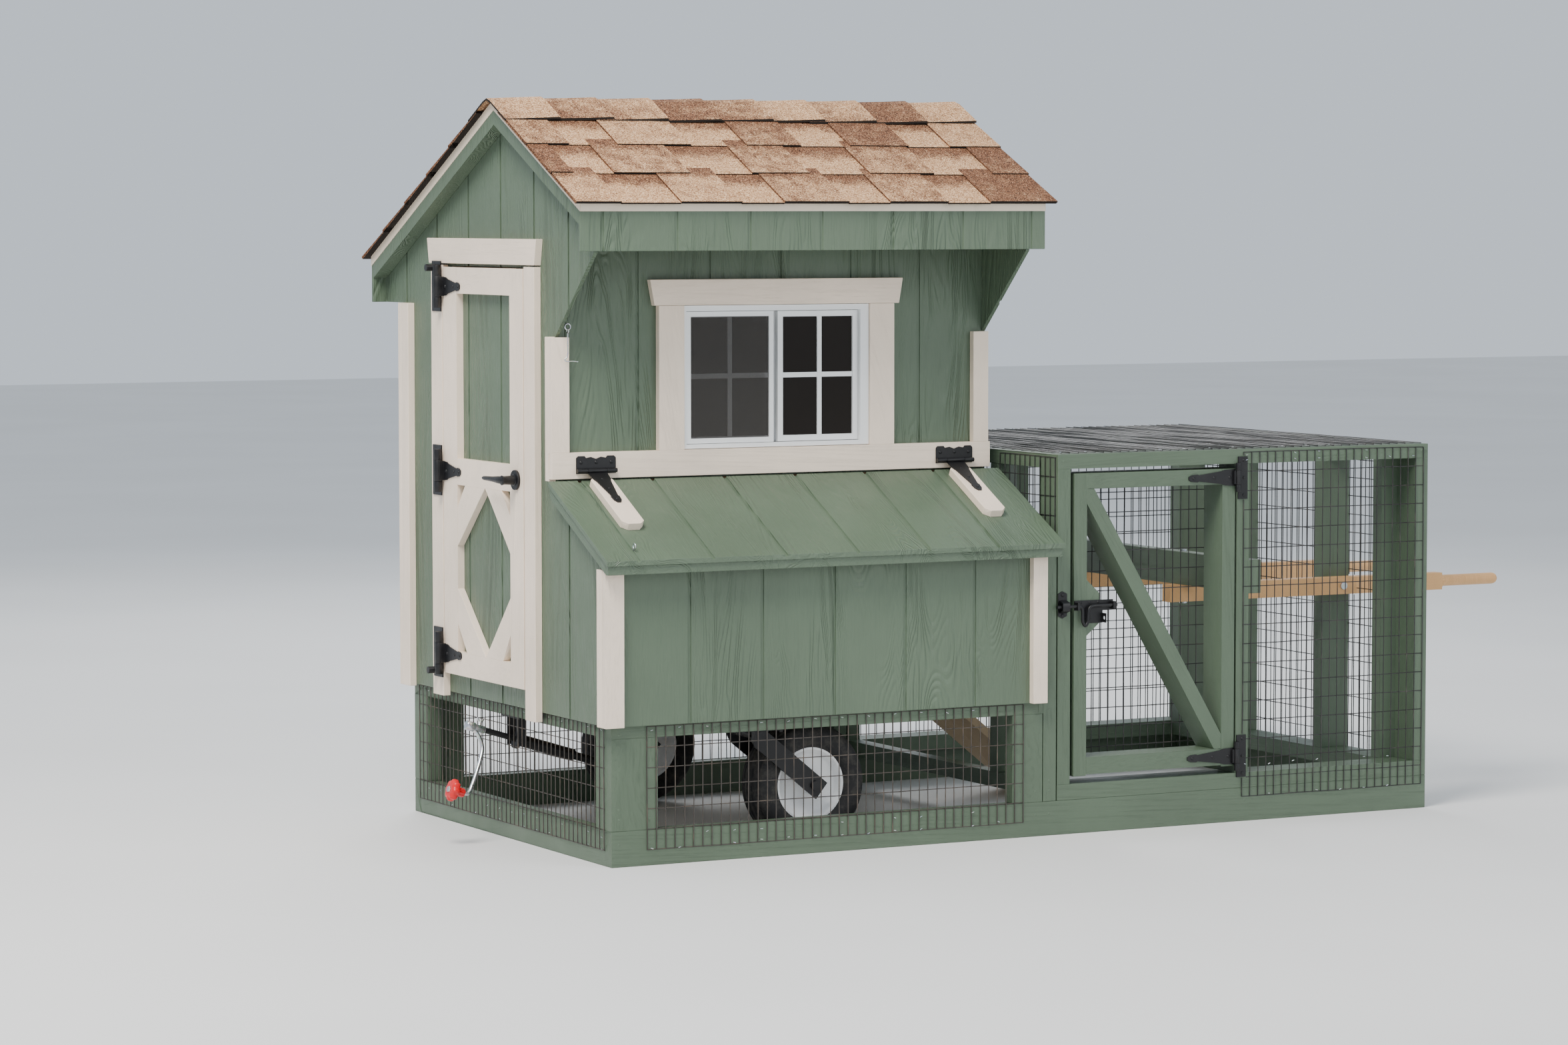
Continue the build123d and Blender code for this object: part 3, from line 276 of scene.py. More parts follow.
def rubber(name, colour):
    """Matt rubber with a little pale dust."""
    s = Shader(name, 0.75, specular=0.35)
    dust = s.spread(s.noise(s.place, 35.0, 5, 0.7), 0.45, 0.7)
    base = s.mix(s.math("MULTIPLY", dust, 0.5), colour, (0.10, 0.09, 0.075))
    return s.finish(base, None, s.bump(s.noise(s.place, 420.0, 3), 0.0003))


def vinyl(name, colour):
    s = Shader(name, 0.35)
    darker = tuple(c * 0.86 for c in colour)
    base = s.mix(s.spread(s.noise(s.place, 9.0, 4), 0.4, 0.8, 0.0, 0.2), colour, darker)
    return s.finish(base, None, s.bump(s.noise(s.place, 160.0, 2), 0.0001))


def glass():
    # painted shade: the glass is an opaque near-black sheet standing in for the dark inside of the house, and
    # it reflects little
    s = Shader("window_glass", 0.03, colour=(0.02, 0.017, 0.015), specular=0.22)
    s.bsdf.inputs["IOR"].default_value = 1.3
    smears = s.spread(s.noise(s.place, 12.0, 4), 0.4, 0.8, 0.03, 0.14)
    return s.finish(None, smears, s.bump(s.noise(s.place, 5.0, 1), 0.0004, 0.4))


def screen_cloth():
    """Woven fly screen: a fine square weave, read mostly as a grey veil."""
    s = Shader("screen_cloth", 0.75, colour=(0.075, 0.07, 0.065), specular=0.2)
    weave = s.node("ShaderNodeTexWave", bands_direction="X")
    weave.inputs["Scale"].default_value = 180.0
    s.link(s.place, weave.inputs["Vector"])
    cross = s.node("ShaderNodeTexWave", bands_direction="Z")
    cross.inputs["Scale"].default_value = 180.0
    s.link(s.place, cross.inputs["Vector"])
    threads = s.math("MAXIMUM", weave.outputs["Fac"], cross.outputs["Fac"])
    return s.finish(None, None, None, s.spread(threads, 0.0, 1.0, 0.3, 0.62))


SAGE = (0.100, 0.143, 0.093)
CREAM = (0.94, 0.79, 0.64)


def make_materials():
    return {
        "siding": painted_wood("sage_siding", SAGE, relief_mm=1.8, rough=0.4, crease_shade=0.16),
        "timber": painted_wood("sage_timber", SAGE, relief_mm=0.4, crease_shade=0.1, arch=0.4),
        "cream": painted_wood("cream_trim", CREAM, relief_mm=0.22, crease_shade=0.02, arch=0.5),
        "pine": bare_wood("planed_pine", (0.82, 0.49, 0.22), (0.56, 0.27, 0.09), rough=0.5),
        "rough_pine": bare_wood("sawn_pine", (0.60, 0.42, 0.24), (0.42, 0.25, 0.12), rough=0.75),
        "plywood": bare_wood("plywood", (0.58, 0.43, 0.27), (0.45, 0.31, 0.18), rough=0.7),
        "strand": strand_board(),
        "drip": metal_paint("cream_metal", (0.80, 0.68, 0.53), rough=0.35),
        "shingle": shingle_granules(),
        "vinyl": vinyl("white_vinyl", (0.89, 0.90, 0.90)),
        "screen": screen_cloth(),
        "glass": glass(),
        "black": metal_paint("black_powder_coat", (0.007, 0.007, 0.008), rough=0.38, lumps=0.00015,
                             specular=0.4, grime=(0.03, 0.03, 0.032)),
        "wire": metal_paint("black_wire_coat", (0.018, 0.017, 0.017), rough=0.38,
                            grime=(0.16, 0.14, 0.12)),
        "rusty_wire": metal_paint("weathered_wire_coat", (0.05, 0.042, 0.036), rough=0.45,
                                  grime=(0.28, 0.20, 0.14)),
        "zinc": plated("zinc_plate", (0.62, 0.64, 0.66)),
        "rim": metal_paint("rim_enamel", (0.88, 0.88, 0.88), rough=0.35),
        "rubber": rubber("tyre_rubber", (0.018, 0.018, 0.019)),
        "red": metal_paint("red_plastic", (0.70, 0.006, 0.010), rough=0.32, grime=(0.5, 0.03, 0.03)),
    }


MATS = make_materials()


def mark_grain(obj, axis=None):
    """Give the points of each board a grain attribute: metres along, across and through the board.

    Without an axis each board's own long direction is used, and each board starts at its own place.
    """
    mesh = obj.data
    count = len(mesh.vertices)
    co = np.zeros(count * 3)
    mesh.vertices.foreach_get("co", co)
    co = co.reshape(-1, 3)
    owner = np.arange(count)

    def root(i):
        while owner[i] != i:
            owner[i] = owner[owner[i]]
            i = owner[i]
        return i

    for edge in mesh.edges:
        a, b = root(edge.vertices[0]), root(edge.vertices[1])
        if a != b:
            owner[a] = b
    roots = np.array([root(i) for i in range(count)])
    values = np.zeros((count, 3))
    rng = np.random.default_rng(1)
    for group in np.unique(roots):
        members = roots == group
        points = co[members]
        middle = points.mean(0)
        if axis is None:
            _, _, directions = np.linalg.svd(points - middle, full_matrices=True)
        else:
            first = np.array(axis, float)
            second = np.cross(first, (0.3, 0.9, 0.2))
            second /= np.linalg.norm(second)
            directions = np.array([first, second, np.cross(first, second)])
        values[members] = points @ directions.T + rng.uniform(-5, 5, 3) * (axis is None)
    store = mesh.attributes.new("grain", "FLOAT_VECTOR", "POINT")
    store.data.foreach_set("vector", values.ravel())


def dress(material, *names, grain=None):
    """Give CAD nodes a material. grain is the direction of their grain when it isn't each board's own."""
    for name in names:
        obj = NODES[name]
        obj.data.materials.clear()
        obj.data.materials.append(MATS[material])
        mark_grain(obj, grain)


def ease_edges(obj, width_mm):
    ease = obj.modifiers.new("ease", "BEVEL")
    ease.width = width_mm * 0.001
    ease.segments = 2
    ease.limit_method = "ANGLE"
    ease.angle_limit = math.radians(40)


def soften(width_mm, *names):
    """Ease the sharp edges of CAD nodes, which also shows the seams between boards."""
    for name in names:
        weld = NODES[name].modifiers.new("weld", "WELD")
        weld.merge_threshold = 0.00005
        ease_edges(NODES[name], width_mm)


def plate_lid_eye():
    """The screw eye on the lid is zinc, and the hinge straps in its node are black."""
    obj = NODES["lid_hinge_straps"]
    obj.data.materials.append(MATS["zinc"])
    front = at(0, -9.0, 0).y
    for face in obj.data.polygons:
        if face.center.y < front:
            face.material_index = 1


def dress_frame():
    upright = (0, 0, 1)
    dress("siding", "left_siding", "right_siding", "front_siding", "rear_siding", "nest_front", grain=upright)
    dress("siding", "door_panel", "roof_fascia", grain=upright)
    dress("timber", "base_skids", "base_frame", "run_frame", "run_door_frame")
    dress("cream", "corner_trim", "window_casing", "door_casing", "door_boards", "lid_battens")
    dress("pine", "lift_handles")
    dress("rough_pine", "house_framing", "rafters", "roost_bars")
    dress("plywood", "house_floor", "nest_dividers", "pop_door", "pop_door_guides", "ramp")
    dress("strand", "roof_deck")
    dress("drip", "drip_edge")
    dress("vinyl", "window_frame", "window_fixed_sash", "window_sash")
    dress("glass", "window_fixed_glass", "window_sash_glass")
    dress("black", "door_hinge_straps", "door_rose", "lid_hinge_straps", "run_door_hardware")
    dress("black", "latch_bolt", "hinge_leaves", "axle_arms", "axle_brackets", "jack_tube", "jack_rod")
    dress("zinc", "handle_bolts")
    plate_lid_eye()
    soften(1.6, "base_skids", "base_frame", "run_frame", "run_door_frame", "lift_handles", "ramp")
    soften(1.2, "corner_trim", "window_casing", "door_casing", "door_boards", "lid_battens", "roof_fascia")
    soften(0.8, "left_siding", "right_siding", "front_siding", "rear_siding", "nest_front", "door_panel")
    soften(0.6, "window_frame", "window_fixed_sash", "window_sash", "hinge_leaves", "lid_hinge_straps")
    soften(0.6, "door_hinge_straps", "run_door_hardware", "door_rose", "axle_arms", "axle_brackets")


# ---------------------------------------------------------------- mesh building
class Piece:
    """Collects the faces of one visible piece, in the coop's own inches."""

    def __init__(self, seed=0):
        self.verts = []
        self.faces = []
        self.tones = []
        self.rng = random.Random(seed)

    def add(self, points, faces, tone=0.0):
        start = len(self.verts)
        self.verts.extend(tuple(p) for p in points)
        self.faces.extend(tuple(start + i for i in face) for face in faces)
        self.tones.extend([tone] * len(points))

    def add_outward(self, points, faces, tones):
        """Adds the faces of a convex shape, each turned to face away from its middle."""
        points = [Vector(p) for p in points]
        middle = sum(points, Vector()) / len(points)
        turned = []
        for face in faces:
            a, b, c = (points[i] for i in face[:3])
            out = (b - a).cross(c - a)
            turned.append(face if out.dot(a - middle) > 0 else tuple(reversed(face)))
        start = len(self.verts)
        self.add(points, turned)
        self.tones[start:] = tones

    def box(self, x0, x1, y0, y1, z0, z1):
        points = [(x, y, z) for z in (z0, z1) for y in (y0, y1) for x in (x0, x1)]
        faces = [(0, 2, 3, 1), (4, 5, 7, 6), (0, 1, 5, 4), (2, 6, 7, 3), (0, 4, 6, 2), (1, 3, 7, 5)]
        self.add(points, faces)

    def loft(self, rings):
        """Joins rings of the same number of points, each a list going round, and closes both ends."""
        count = len(rings[0])
        points = [p for ring in rings for p in ring]
        faces = []
        for r in range(len(rings) - 1):
            for i in range(count):
                j = (i + 1) % count
                a, b = r * count, (r + 1) * count
                faces.append((a + i, a + j, b + j, b + i))
        faces.append(tuple(reversed(range(count))))
        last = (len(rings) - 1) * count
        faces.append(tuple(last + i for i in range(count)))
        self.add(points, faces)

    def tube(self, path, radius, sides):
        """A round bar along a path of points. radius may be a list, one for each point."""
        path = [Vector(p) for p in path]
        radii = radius if isinstance(radius, (list, tuple)) else [radius] * len(path)
        side = None
        rings = []
        for i, point in enumerate(path):
            ahead = path[min(i + 1, len(path) - 1)] - path[max(i - 1, 0)]
            ahead.normalize()
            if side is None:
                side = ahead.orthogonal().normalized()
            side = (side - ahead * side.dot(ahead)).normalized()
            other = ahead.cross(side)
            turns = [2 * math.pi * k / sides for k in range(sides)]
            rings.append([point + (side * math.cos(t) + other * math.sin(t)) * radii[i] for t in turns])
        self.loft(rings)

    def lathe(self, centre, axis, profile, segments, lobes=0, lobe_deep=0.0):
        """Turns a closed (along, radius) profile about an axis. Lobes swell only what is outside the boss."""
        boss = 0.4
        centre, axis = Vector(centre), Vector(axis).normalized()
        side = axis.orthogonal().normalized()
        other = axis.cross(side)
        rings = []
        for k in range(segments):
            turn = 2 * math.pi * k / segments
            ray = side * math.cos(turn) + other * math.sin(turn)
            swell = 1 + lobe_deep * math.cos(lobes * turn)
            rings.append([centre + axis * a + ray * r * (swell if r > boss else 1) for a, r in profile])
        count = len(profile)
        points = [p for ring in rings for p in ring]
        faces = []
        for k in range(segments):
            n = (k + 1) % segments
            for i in range(count):
                j = (i + 1) % count
                faces.append((k * count + i, k * count + j, n * count + j, n * count + i))
        self.add(points, faces)

    def head(self, centre, axis, radius, rise):
        """A low domed screw head."""
        sides = 14
        centre, axis = Vector(centre), Vector(axis)
        side = axis.orthogonal().normalized()
        other = axis.cross(side)
        rings = []
        for part, height in ((1.0, 0.0), (0.92, 0.45), (0.62, 0.85), (0.2, 1.0)):
            turns = [2 * math.pi * k / sides for k in range(sides)]
            rings.append([
                centre + axis * rise * height + (side * math.cos(t) + other * math.sin(t)) * radius * part
                for t in turns
            ])
        self.loft(rings)

    def build(self, name, material, body, slot, smooth=None, replaces=(), grain=None):
        """Makes the visible object. smooth is the angle in degrees over which an edge stays sharp."""
        mesh = bpy.data.meshes.new(name)
        mesh.from_pydata([at(*v) for v in self.verts], [], self.faces)
        mesh.validate()
        tone = mesh.attributes.new("tone", "FLOAT", "POINT")
        tone.data.foreach_set("value", self.tones)
        mesh.materials.append(MATS[material])
        if smooth is not None:
            mesh.polygons.foreach_set("use_smooth", [True] * len(mesh.polygons))
            mesh.set_sharp_from_angle(angle=math.radians(smooth))
        obj = bpy.data.objects.new(name, mesh)
        bpy.context.scene.collection.objects.link(obj)
        mark_grain(obj, grain)
        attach(obj, body)
        if replaces:
            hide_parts(*replaces)
        return obj


# ---------------------------------------------------------------- welded wire
def stops(low, high, pitch):
    """Evenly spaced places from low to high, as near to the pitch as fits."""
    count = max(1, round((high - low) / pitch))
    return [low + (high - low) * i / count for i in range(count + 1)]


def wire_panel(upright, level, normal, plane, across, up, seed, gaps=(), outward=-1):
    """Round wires of one panel: uprights an inch apart in one piece, levels two inches apart in another."""
    rng = random.Random(seed)

    def point(a, b, out):
        places = {"X": (plane + out, a, b), "Y": (a, plane + out, b), "Z": (a, b, plane + out)}
        return places[normal]

    def run(target, fixed, low, high, along_up, out):
        spans = [(low, high)]
        for a0, a1, b0, b1 in gaps:
            f0, f1, r0, r1 = (a0, a1, b0, b1) if along_up else (b0, b1, a0, a1)
            if f0 < fixed < f1:
                parts = [part for lo, hi in spans for part in ((lo, min(hi, r0)), (max(lo, r1), hi))]
                spans = [(lo, hi) for lo, hi in parts if hi - lo > 0.2]
        for lo, hi in spans:
            steps = max(2, round((hi - lo) / 4))
            bow = rng.uniform(-0.05, 0.05)
            path = []
            for i in range(steps + 1):
                part = i / steps
                free = math.sin(math.pi * part)
                wander = bow * free + rng.uniform(-0.018, 0.018)
                sway = rng.uniform(-0.02, 0.02) + 0.03 * free * math.sin(seed + fixed)
                place = lo + (hi - lo) * part
                pair = (fixed + wander, place) if along_up else (place, fixed + wander)
                path.append(point(*pair, out + sway * 0.6))
            target.tube(path, WIRE_R, 6)

    for a in stops(across[0], across[1], 1.0):
        run(upright, a, up[0], up[1], True, outward * WIRE_R)
    for b in stops(up[0], up[1], 2.0):
        run(level, b, across[0], across[1], False, -outward * WIRE_R)


def staples(piece, normal, face, line, positions):
    """Bright crown staples over every few wires along one edge of a panel, with some left out."""
    half = 0.13
    for place in positions:
        if piece.rng.random() < 0.3:
            continue
        tip = piece.rng.uniform(-0.12, 0.12)
        middle = line + piece.rng.uniform(-0.12, 0.12)
        ends = [(place - half, middle + tip * 0.5), (place + half, middle - tip * 0.5)]
        if normal == "Y":
            path = [(a, face, b) for a, b in ends]
        elif normal == "X":
            path = [(face, a, b) for a, b in ends]
        else:
            path = [(a, b, face) for a, b in ends]
        piece.tube(path, 0.035, 5)


def make_wires():
    """The welded mesh of the run, the space under the house and the run door, and its staples."""
    low, high = 2.6, 38.45
    left, right = 50.85, 95.35
    front, back = -11.6, 35.6
    leaves = [(71.9, 73.2, z - 2.3, z + 2.3) for z in RUN_LEAF_Z]
    handle_gaps = [(y - 0.1, y + 1.6, 21.75, 23.9) for y in (0.9, 21.6)]
    up, level = Piece(), Piece()
    wire_panel(up, level, "Y", FRONT - WIRE_OUT, (72.65, right), (low, high), 3, leaves)
    wire_panel(up, level, "Y", BACK + WIRE_OUT, (left, right), (low, high), 4, outward=1)
    wire_panel(up, level, "X", LENGTH + WIRE_OUT, (front, back), (low, high), 5, handle_gaps, outward=1)
    wire_panel(up, level, "X", 50.19, (front, -0.6), (28.6, high), 6)
    up.build("run_wire_uprights", "wire", "coop", "black_wire", 60, ["run_mesh_walls"])
    level.build("run_wire_levels", "wire", "coop", "black_wire", 60)
    up, level = Piece(), Piece()
    wire_panel(up, level, "Z", RUN_TOP + WIRE_OUT, (left, right), (front, back), 7, outward=1)
    up.build("run_top_wires_deep", "wire", "coop", "black_wire", 60, ["run_mesh_top"])
    level.build("run_top_wires_long", "wire", "coop", "black_wire", 60)
    up, level = Piece(), Piece()
    low, high = 1.55, 13.55
    wire_panel(up, level, "Y", FRONT - WIRE_OUT, (3.8, 46.2), (low, high), 8)
    wire_panel(up, level, "Y", BACK + WIRE_OUT, (3.8, 46.2), (low, high), 9, outward=1)
    wire_panel(up, level, "X", -WIRE_OUT, (-10.5, 34.5), (low, high), 10)
    up.build("lower_wire_uprights", "rusty_wire", "coop", "black_wire", 60, ["lower_mesh"])
    level.build("lower_wire_levels", "rusty_wire", "coop", "black_wire", 60)
    up, level = Piece(), Piece()
    wire_panel(up, level, "Y", -8.46, (52.6, 71.25), (6.3, 36.5), 11, outward=1)
    up.build("run_door_wire_uprights", "wire", "run_door", "black_wire", 60, ["run_door_mesh"])
    level.build("run_door_wire_levels", "wire", "run_door", "black_wire", 60)

    def row(first, count):
        return [first + 3 * i for i in range(count)]

    pins = Piece(21)
    for z in (2.75, 5.9, 37.6, 38.3):
        staples(pins, "Y", FRONT - STAPLE_OUT, z, row(73, 8))
    for z in (1.7, 2.9, 13.3):
        staples(pins, "Y", FRONT - STAPLE_OUT, z, row(4.3, 14))
        staples(pins, "X", -STAPLE_OUT, z, row(-10, 15))
    for z in (2.75, 38.3):
        staples(pins, "X", LENGTH + STAPLE_OUT, z, row(-11, 16))
        staples(pins, "Y", BACK + STAPLE_OUT, z, row(51, 15))
    for y in (-10.3, 34.3):
        staples(pins, "Z", RUN_TOP + STAPLE_OUT, y, row(51.5, 15))
    pins.build("mesh_staples", "zinc", "coop", "zinc", 60)


# ---------------------------------------------------------------- shingles
def roof_point(x, y, rise, slope):
    """A point at a height square to the roof over the deck, at distance y down from the ridge."""
    run = 1 / math.hypot(1, ROOF_SLOPE)
    fall = ROOF_SLOPE * run
    z = RIDGE_Z + DECK_TOP - ROOF_SLOPE * y + rise * run
    return (x, RIDGE_Y + slope * (y + rise * fall), z)


# tones of a shingle's lower edge, painted near-black as the shadow line under it, and of its cut sides
PAINTED_SHADOW_EDGE = 2.0
CUT_SIDE = 1.2


def shingle_slab(piece, x0, x1, y_low, y_high, under, thick, slope, tones, flare=0.0):
    """One tab with its lower edge at y_low. tones run up its face, and flare narrows it towards the ridge."""
    top, base = [], []
    for i in range(len(tones)):
        part = i / (len(tones) - 1)
        y = y_low + (y_high - y_low) * part
        for x in (x0 + flare * part, x1 - flare * part):
            top.append(roof_point(x, y, under + thick * (1 - part) + 0.03 * part, slope))
            base.append(roof_point(x, y, under - 0.02, slope))
    count = len(top)
    faces = [(i, i + 1, i + 3, i + 2) for i in range(0, count - 2, 2)]
    side = 2 * count
    edge = 4 * count
    under_faces = [tuple(i + count for i in face) for face in faces]
    left = [(side + i, side + i + 2, side + count + i + 2, side + count + i) for i in range(0, count - 2, 2)]
    right = [tuple(i + 1 for i in face) for face in left]
    ends = [(edge, edge + 1, edge + count + 1, edge + count),
            (edge + count - 2, edge + count - 1, edge + 2 * count - 1, edge + 2 * count - 2)]
    shades = [tone for tone in tones for _ in range(2)]
    # painted shadow: the underside and both ends are near-black, so each tab's lower end reads as a shadow
    # line
    shades += [PAINTED_SHADOW_EDGE] * count + [CUT_SIDE] * (2 * count) + [PAINTED_SHADOW_EDGE] * (2 * count)
    piece.add_outward((top + base) * 3, faces + under_faces + left + right + ends, shades)


def lay_course(piece, left, right, y_low, y_high, slope):
    """A laminated course: thicker teeth, and between them thinner tabs that darken towards the ridge."""
    rng = piece.rng
    x = left - rng.uniform(0, 5)
    tooth = True
    while x < right:
        width = rng.uniform(6.0, 8.6) if tooth else rng.uniform(4.4, 7.0)
        a, b = max(x, left), min(x + width, right)
        if b - a > 0.4 and tooth:
            tone = rng.choice((0.25, 0.42, 0.58, 0.75))
            low = y_low + rng.uniform(-0.05, 0.05)
            tones = (tone, tone + 0.05, tone + 0.1, 1.0)
            shingle_slab(piece, a, b, low, y_high, 0.14, 0.17, slope, tones, 0.12)
        elif b - a > 0.4:
            shingle_slab(piece, a, b, y_low, y_high, 0.0, 0.15, slope, (0.0, 0.1, 0.75, 1.0))
        x += width
        tooth = not tooth


def make_shingles():
    """Courses of laminated tabs up both slopes, then overlapping caps folded over the ridge."""
    left, right = -2.8, 51.0
    tabs = Piece(5)
    for slope, eave, count in ((-1, 20.85, 3), (1, 32.45, 5)):
        step = (eave - 3.75) / count
        for course in range(count):
            y_low = eave - step * course
            y_high = max(y_low - step * 1.2, 1.0)
            # painted shadow: a dark brown base strip reaches 0.15 below each course's lower edge as the
            # shadow line under it
            shingle_slab(tabs, left, right, y_low - 0.15, y_high, -0.02, 0.1, slope, (1, 1))
            lay_course(tabs, left, right, y_low, y_high, slope)
    tabs.build("shingle_tabs", "shingle", "coop", "shingle", None, ["shingles"])

    caps = Piece(6)
    count = 9
    step = (right - left) / count
    reach = 4.45
    for i in range(count):
        x1 = left + step * (i + 1)
        x0 = max(x1 - step * 1.3, left)
        base = caps.rng.choice((0.1, 0.3, 0.45, 0.65))
        skew = caps.rng.uniform(-0.12, 0.12)
        for slope in (-1, 1):
            grid = []
            shades = []
            for u, x in enumerate((x0, x1 - step * 0.5, x1)):
                for v, y in enumerate((reach, reach * 0.6, 0.8, 0.0)):
                    rise = 0.26 + 0.26 * u / 2 - (0.12 if v == 3 else 0.0)
                    place = roof_point(x, y + skew * (v == 0), rise, slope)
                    grid.append((place[0], RIDGE_Y if v == 3 else place[1], place[2]))
                    shades.append(base + (0.5, 0.15, 0.0)[u] * (0.6 if v else 1.0))
            corners = [4 * u + v for u in (0, 1) for v in range(3)]
            faces = [(k, k + 1, k + 5, k + 4) for k in corners]
            if slope > 0:
                faces = [tuple(reversed(face)) for face in faces]
            caps.add(grid, faces)
            caps.tones[-12:] = shades
            # painted shadow: a near-black skirt hangs 0.22 below the cap's lower edge and both its ends
            for line in ((0, 4, 8), (0, 1, 2, 3), (8, 9, 10, 11)):
                rim = [grid[k] for k in line]
                low = [(x, y, z - 0.22) for x, y, z in rim]
                n = len(rim)
                caps.add(rim + low, [(k, k + 1, n + k + 1, n + k) for k in range(n - 1)], PAINTED_SHADOW_EDGE)
    caps.build("ridge_cap_shingles", "shingle", "coop", "shingle", None, ["ridge_caps"])


# ---------------------------------------------------------------- nest lid
def make_lid():
    """The lid's grooved panel, with a lip that stands proud of the front board and side boards under it."""
    left, right, front, back = -1.6, 49.6, -14.55, -1.2
    rise, thick, lip = 0.523, 0.51, 0.2

    def top(y):
        return 37.0 + rise * (y + 1.1)

    profile = [(left, 0.0)]
    for i in range(6):
        groove = 1.8 + 8.0 * i
        profile += [(groove - 0.22, 0.0), (groove - 0.16, 0.2), (groove + 0.16, 0.2), (groove + 0.22, 0.0)]
    profile += [(right, 0.0), (right, thick), (left, thick)]
    lid = Piece()
    lid.loft([[(x, y, top(y) - down) for x, down in profile] for y in (front, back)])
    inner = front + 0.75
    outer = front + lip
    foot = 28.6
    board = [(outer, foot), (inner, foot), (inner, top(inner) - thick), (outer, top(outer) - thick)]
    lid.loft([[(x, y, z) for y, z in board] for x in (left + lip, right - lip)])
    cheek = [(inner, top(inner) - thick - 1.2), (back, top(back) - thick - 1.2),
             (back, top(back) - thick), (inner, top(inner) - thick)]
    for a in (left + lip, right - lip - SIDING):
        lid.loft([[(x, y, z) for y, z in cheek] for x in (a, a + SIDING)])
    made = lid.build("nest_lid_panel", "siding", "nest_lid", "green_siding", None, ["nest_lid"], LID_UP_SLOPE)
    ease_edges(made, 0.8)


# ---------------------------------------------------------------- door handle
def make_door_handle():
    """A cast lever that thickens towards its hub and lock cylinder, with a bar inside the door."""
    y, z = 7.3, 36.65
    lever = Piece()
    lever.tube([(-2.0, y, z), (1.9, y, z)], 0.235, 20)
    lever.tube([(-1.44, y, z), (-1.5, y, z), (-2.5, y, z), (-2.75, y, z), (-2.85, y, z)],
               [0.6, 0.48, 0.42, 0.5, 0.4], 24)
    lever.tube([(-2.55, y - 0.45, z), (-2.6, y, z), (-2.62, y + 1.2, z), (-2.62, y + 2.4, z), (-2.6, 11.9, z),
                (-2.6, 12.25, z)], [0.26, 0.4, 0.36, 0.27, 0.21, 0.12], 20)
    lever.tube([(-2.84, y, z), (-2.92, y, z)], 0.22, 20)
    lever.box(1.62, 1.87, y - 0.45, y + 0.45, z - 2.4, z + 2.4)
    lever.build("door_lever", "black", "door_handle", "black_steel", 50, ["door_handle"])


# ---------------------------------------------------------------- wheels and crank
def make_wheels():
    """A ribbed tyre with rounded shoulders and a dished steel rim on each hub."""
    for name, y in WHEELS_Y:
        centre = (HUB[0], y, HUB[1])
        tyre = Piece()
        half = 2.3
        outer = []
        for i in range(31):
            part = -1 + 2 * i / 30
            radius = 6.28 - 0.42 * part * part
            outer.append((half * 0.8 * part, radius - (0.16 if i % 6 in (2, 3) else 0.0)))
        side = [(half * 0.9, 5.62), (half * 0.98, 5.1), (half, 4.6), (half * 0.96, 4.15), (half * 0.84, 3.85),
                (half * 0.74, 3.74), (half * 0.7, 3.62)]
        tyre.lathe(centre, (0, 1, 0), outer + side + [(-a, r) for a, r in reversed(side)], 96)
        tyre.build(f"tyre_ribbed_{name}", "rubber", f"wheel_{name}", "tyre_rubber", 35, [f"tyre_{name}"])
        rim = Piece()
        dish = [(1.62, 3.62), (1.66, 3.72), (1.74, 3.7), (1.74, 3.5), (1.5, 3.34), (1.12, 3.12), (0.95, 2.9),
                (0.9, 2.3), (1.0, 1.6), (1.15, 1.3), (1.3, 0.9), (2.38, 0.82), (2.4, 0.34)]
        back = [(-a, r) for a, r in reversed(dish)]
        rim.lathe(centre, (0, 1, 0), dish + back + [(-0.8, 3.66), (0.8, 3.66)], 72)
        rim.build(f"rim_dished_{name}", "rim", f"wheel_{name}", "rim_paint", 35, [f"rim_{name}"])


def smooth_path(points, steps=6):
    """Catmull-Rom points through a short list of corners."""
    points = [Vector(p) for p in points]
    ends = [points[0] * 2 - points[1]] + points + [points[-1] * 2 - points[-2]]
    path = []
    for i in range(len(points) - 1):
        a, b, c, d = ends[i:i + 4]
        for k in range(steps):
            t = k / steps
            path.append(((b * 2) + (c - a) * t + (a * 2 - b * 5 + c * 4 - d) * t * t
                         + (b * 3 - a - c * 3 + d) * t * t * t) / 2)
    path.append(points[-1])
    return path


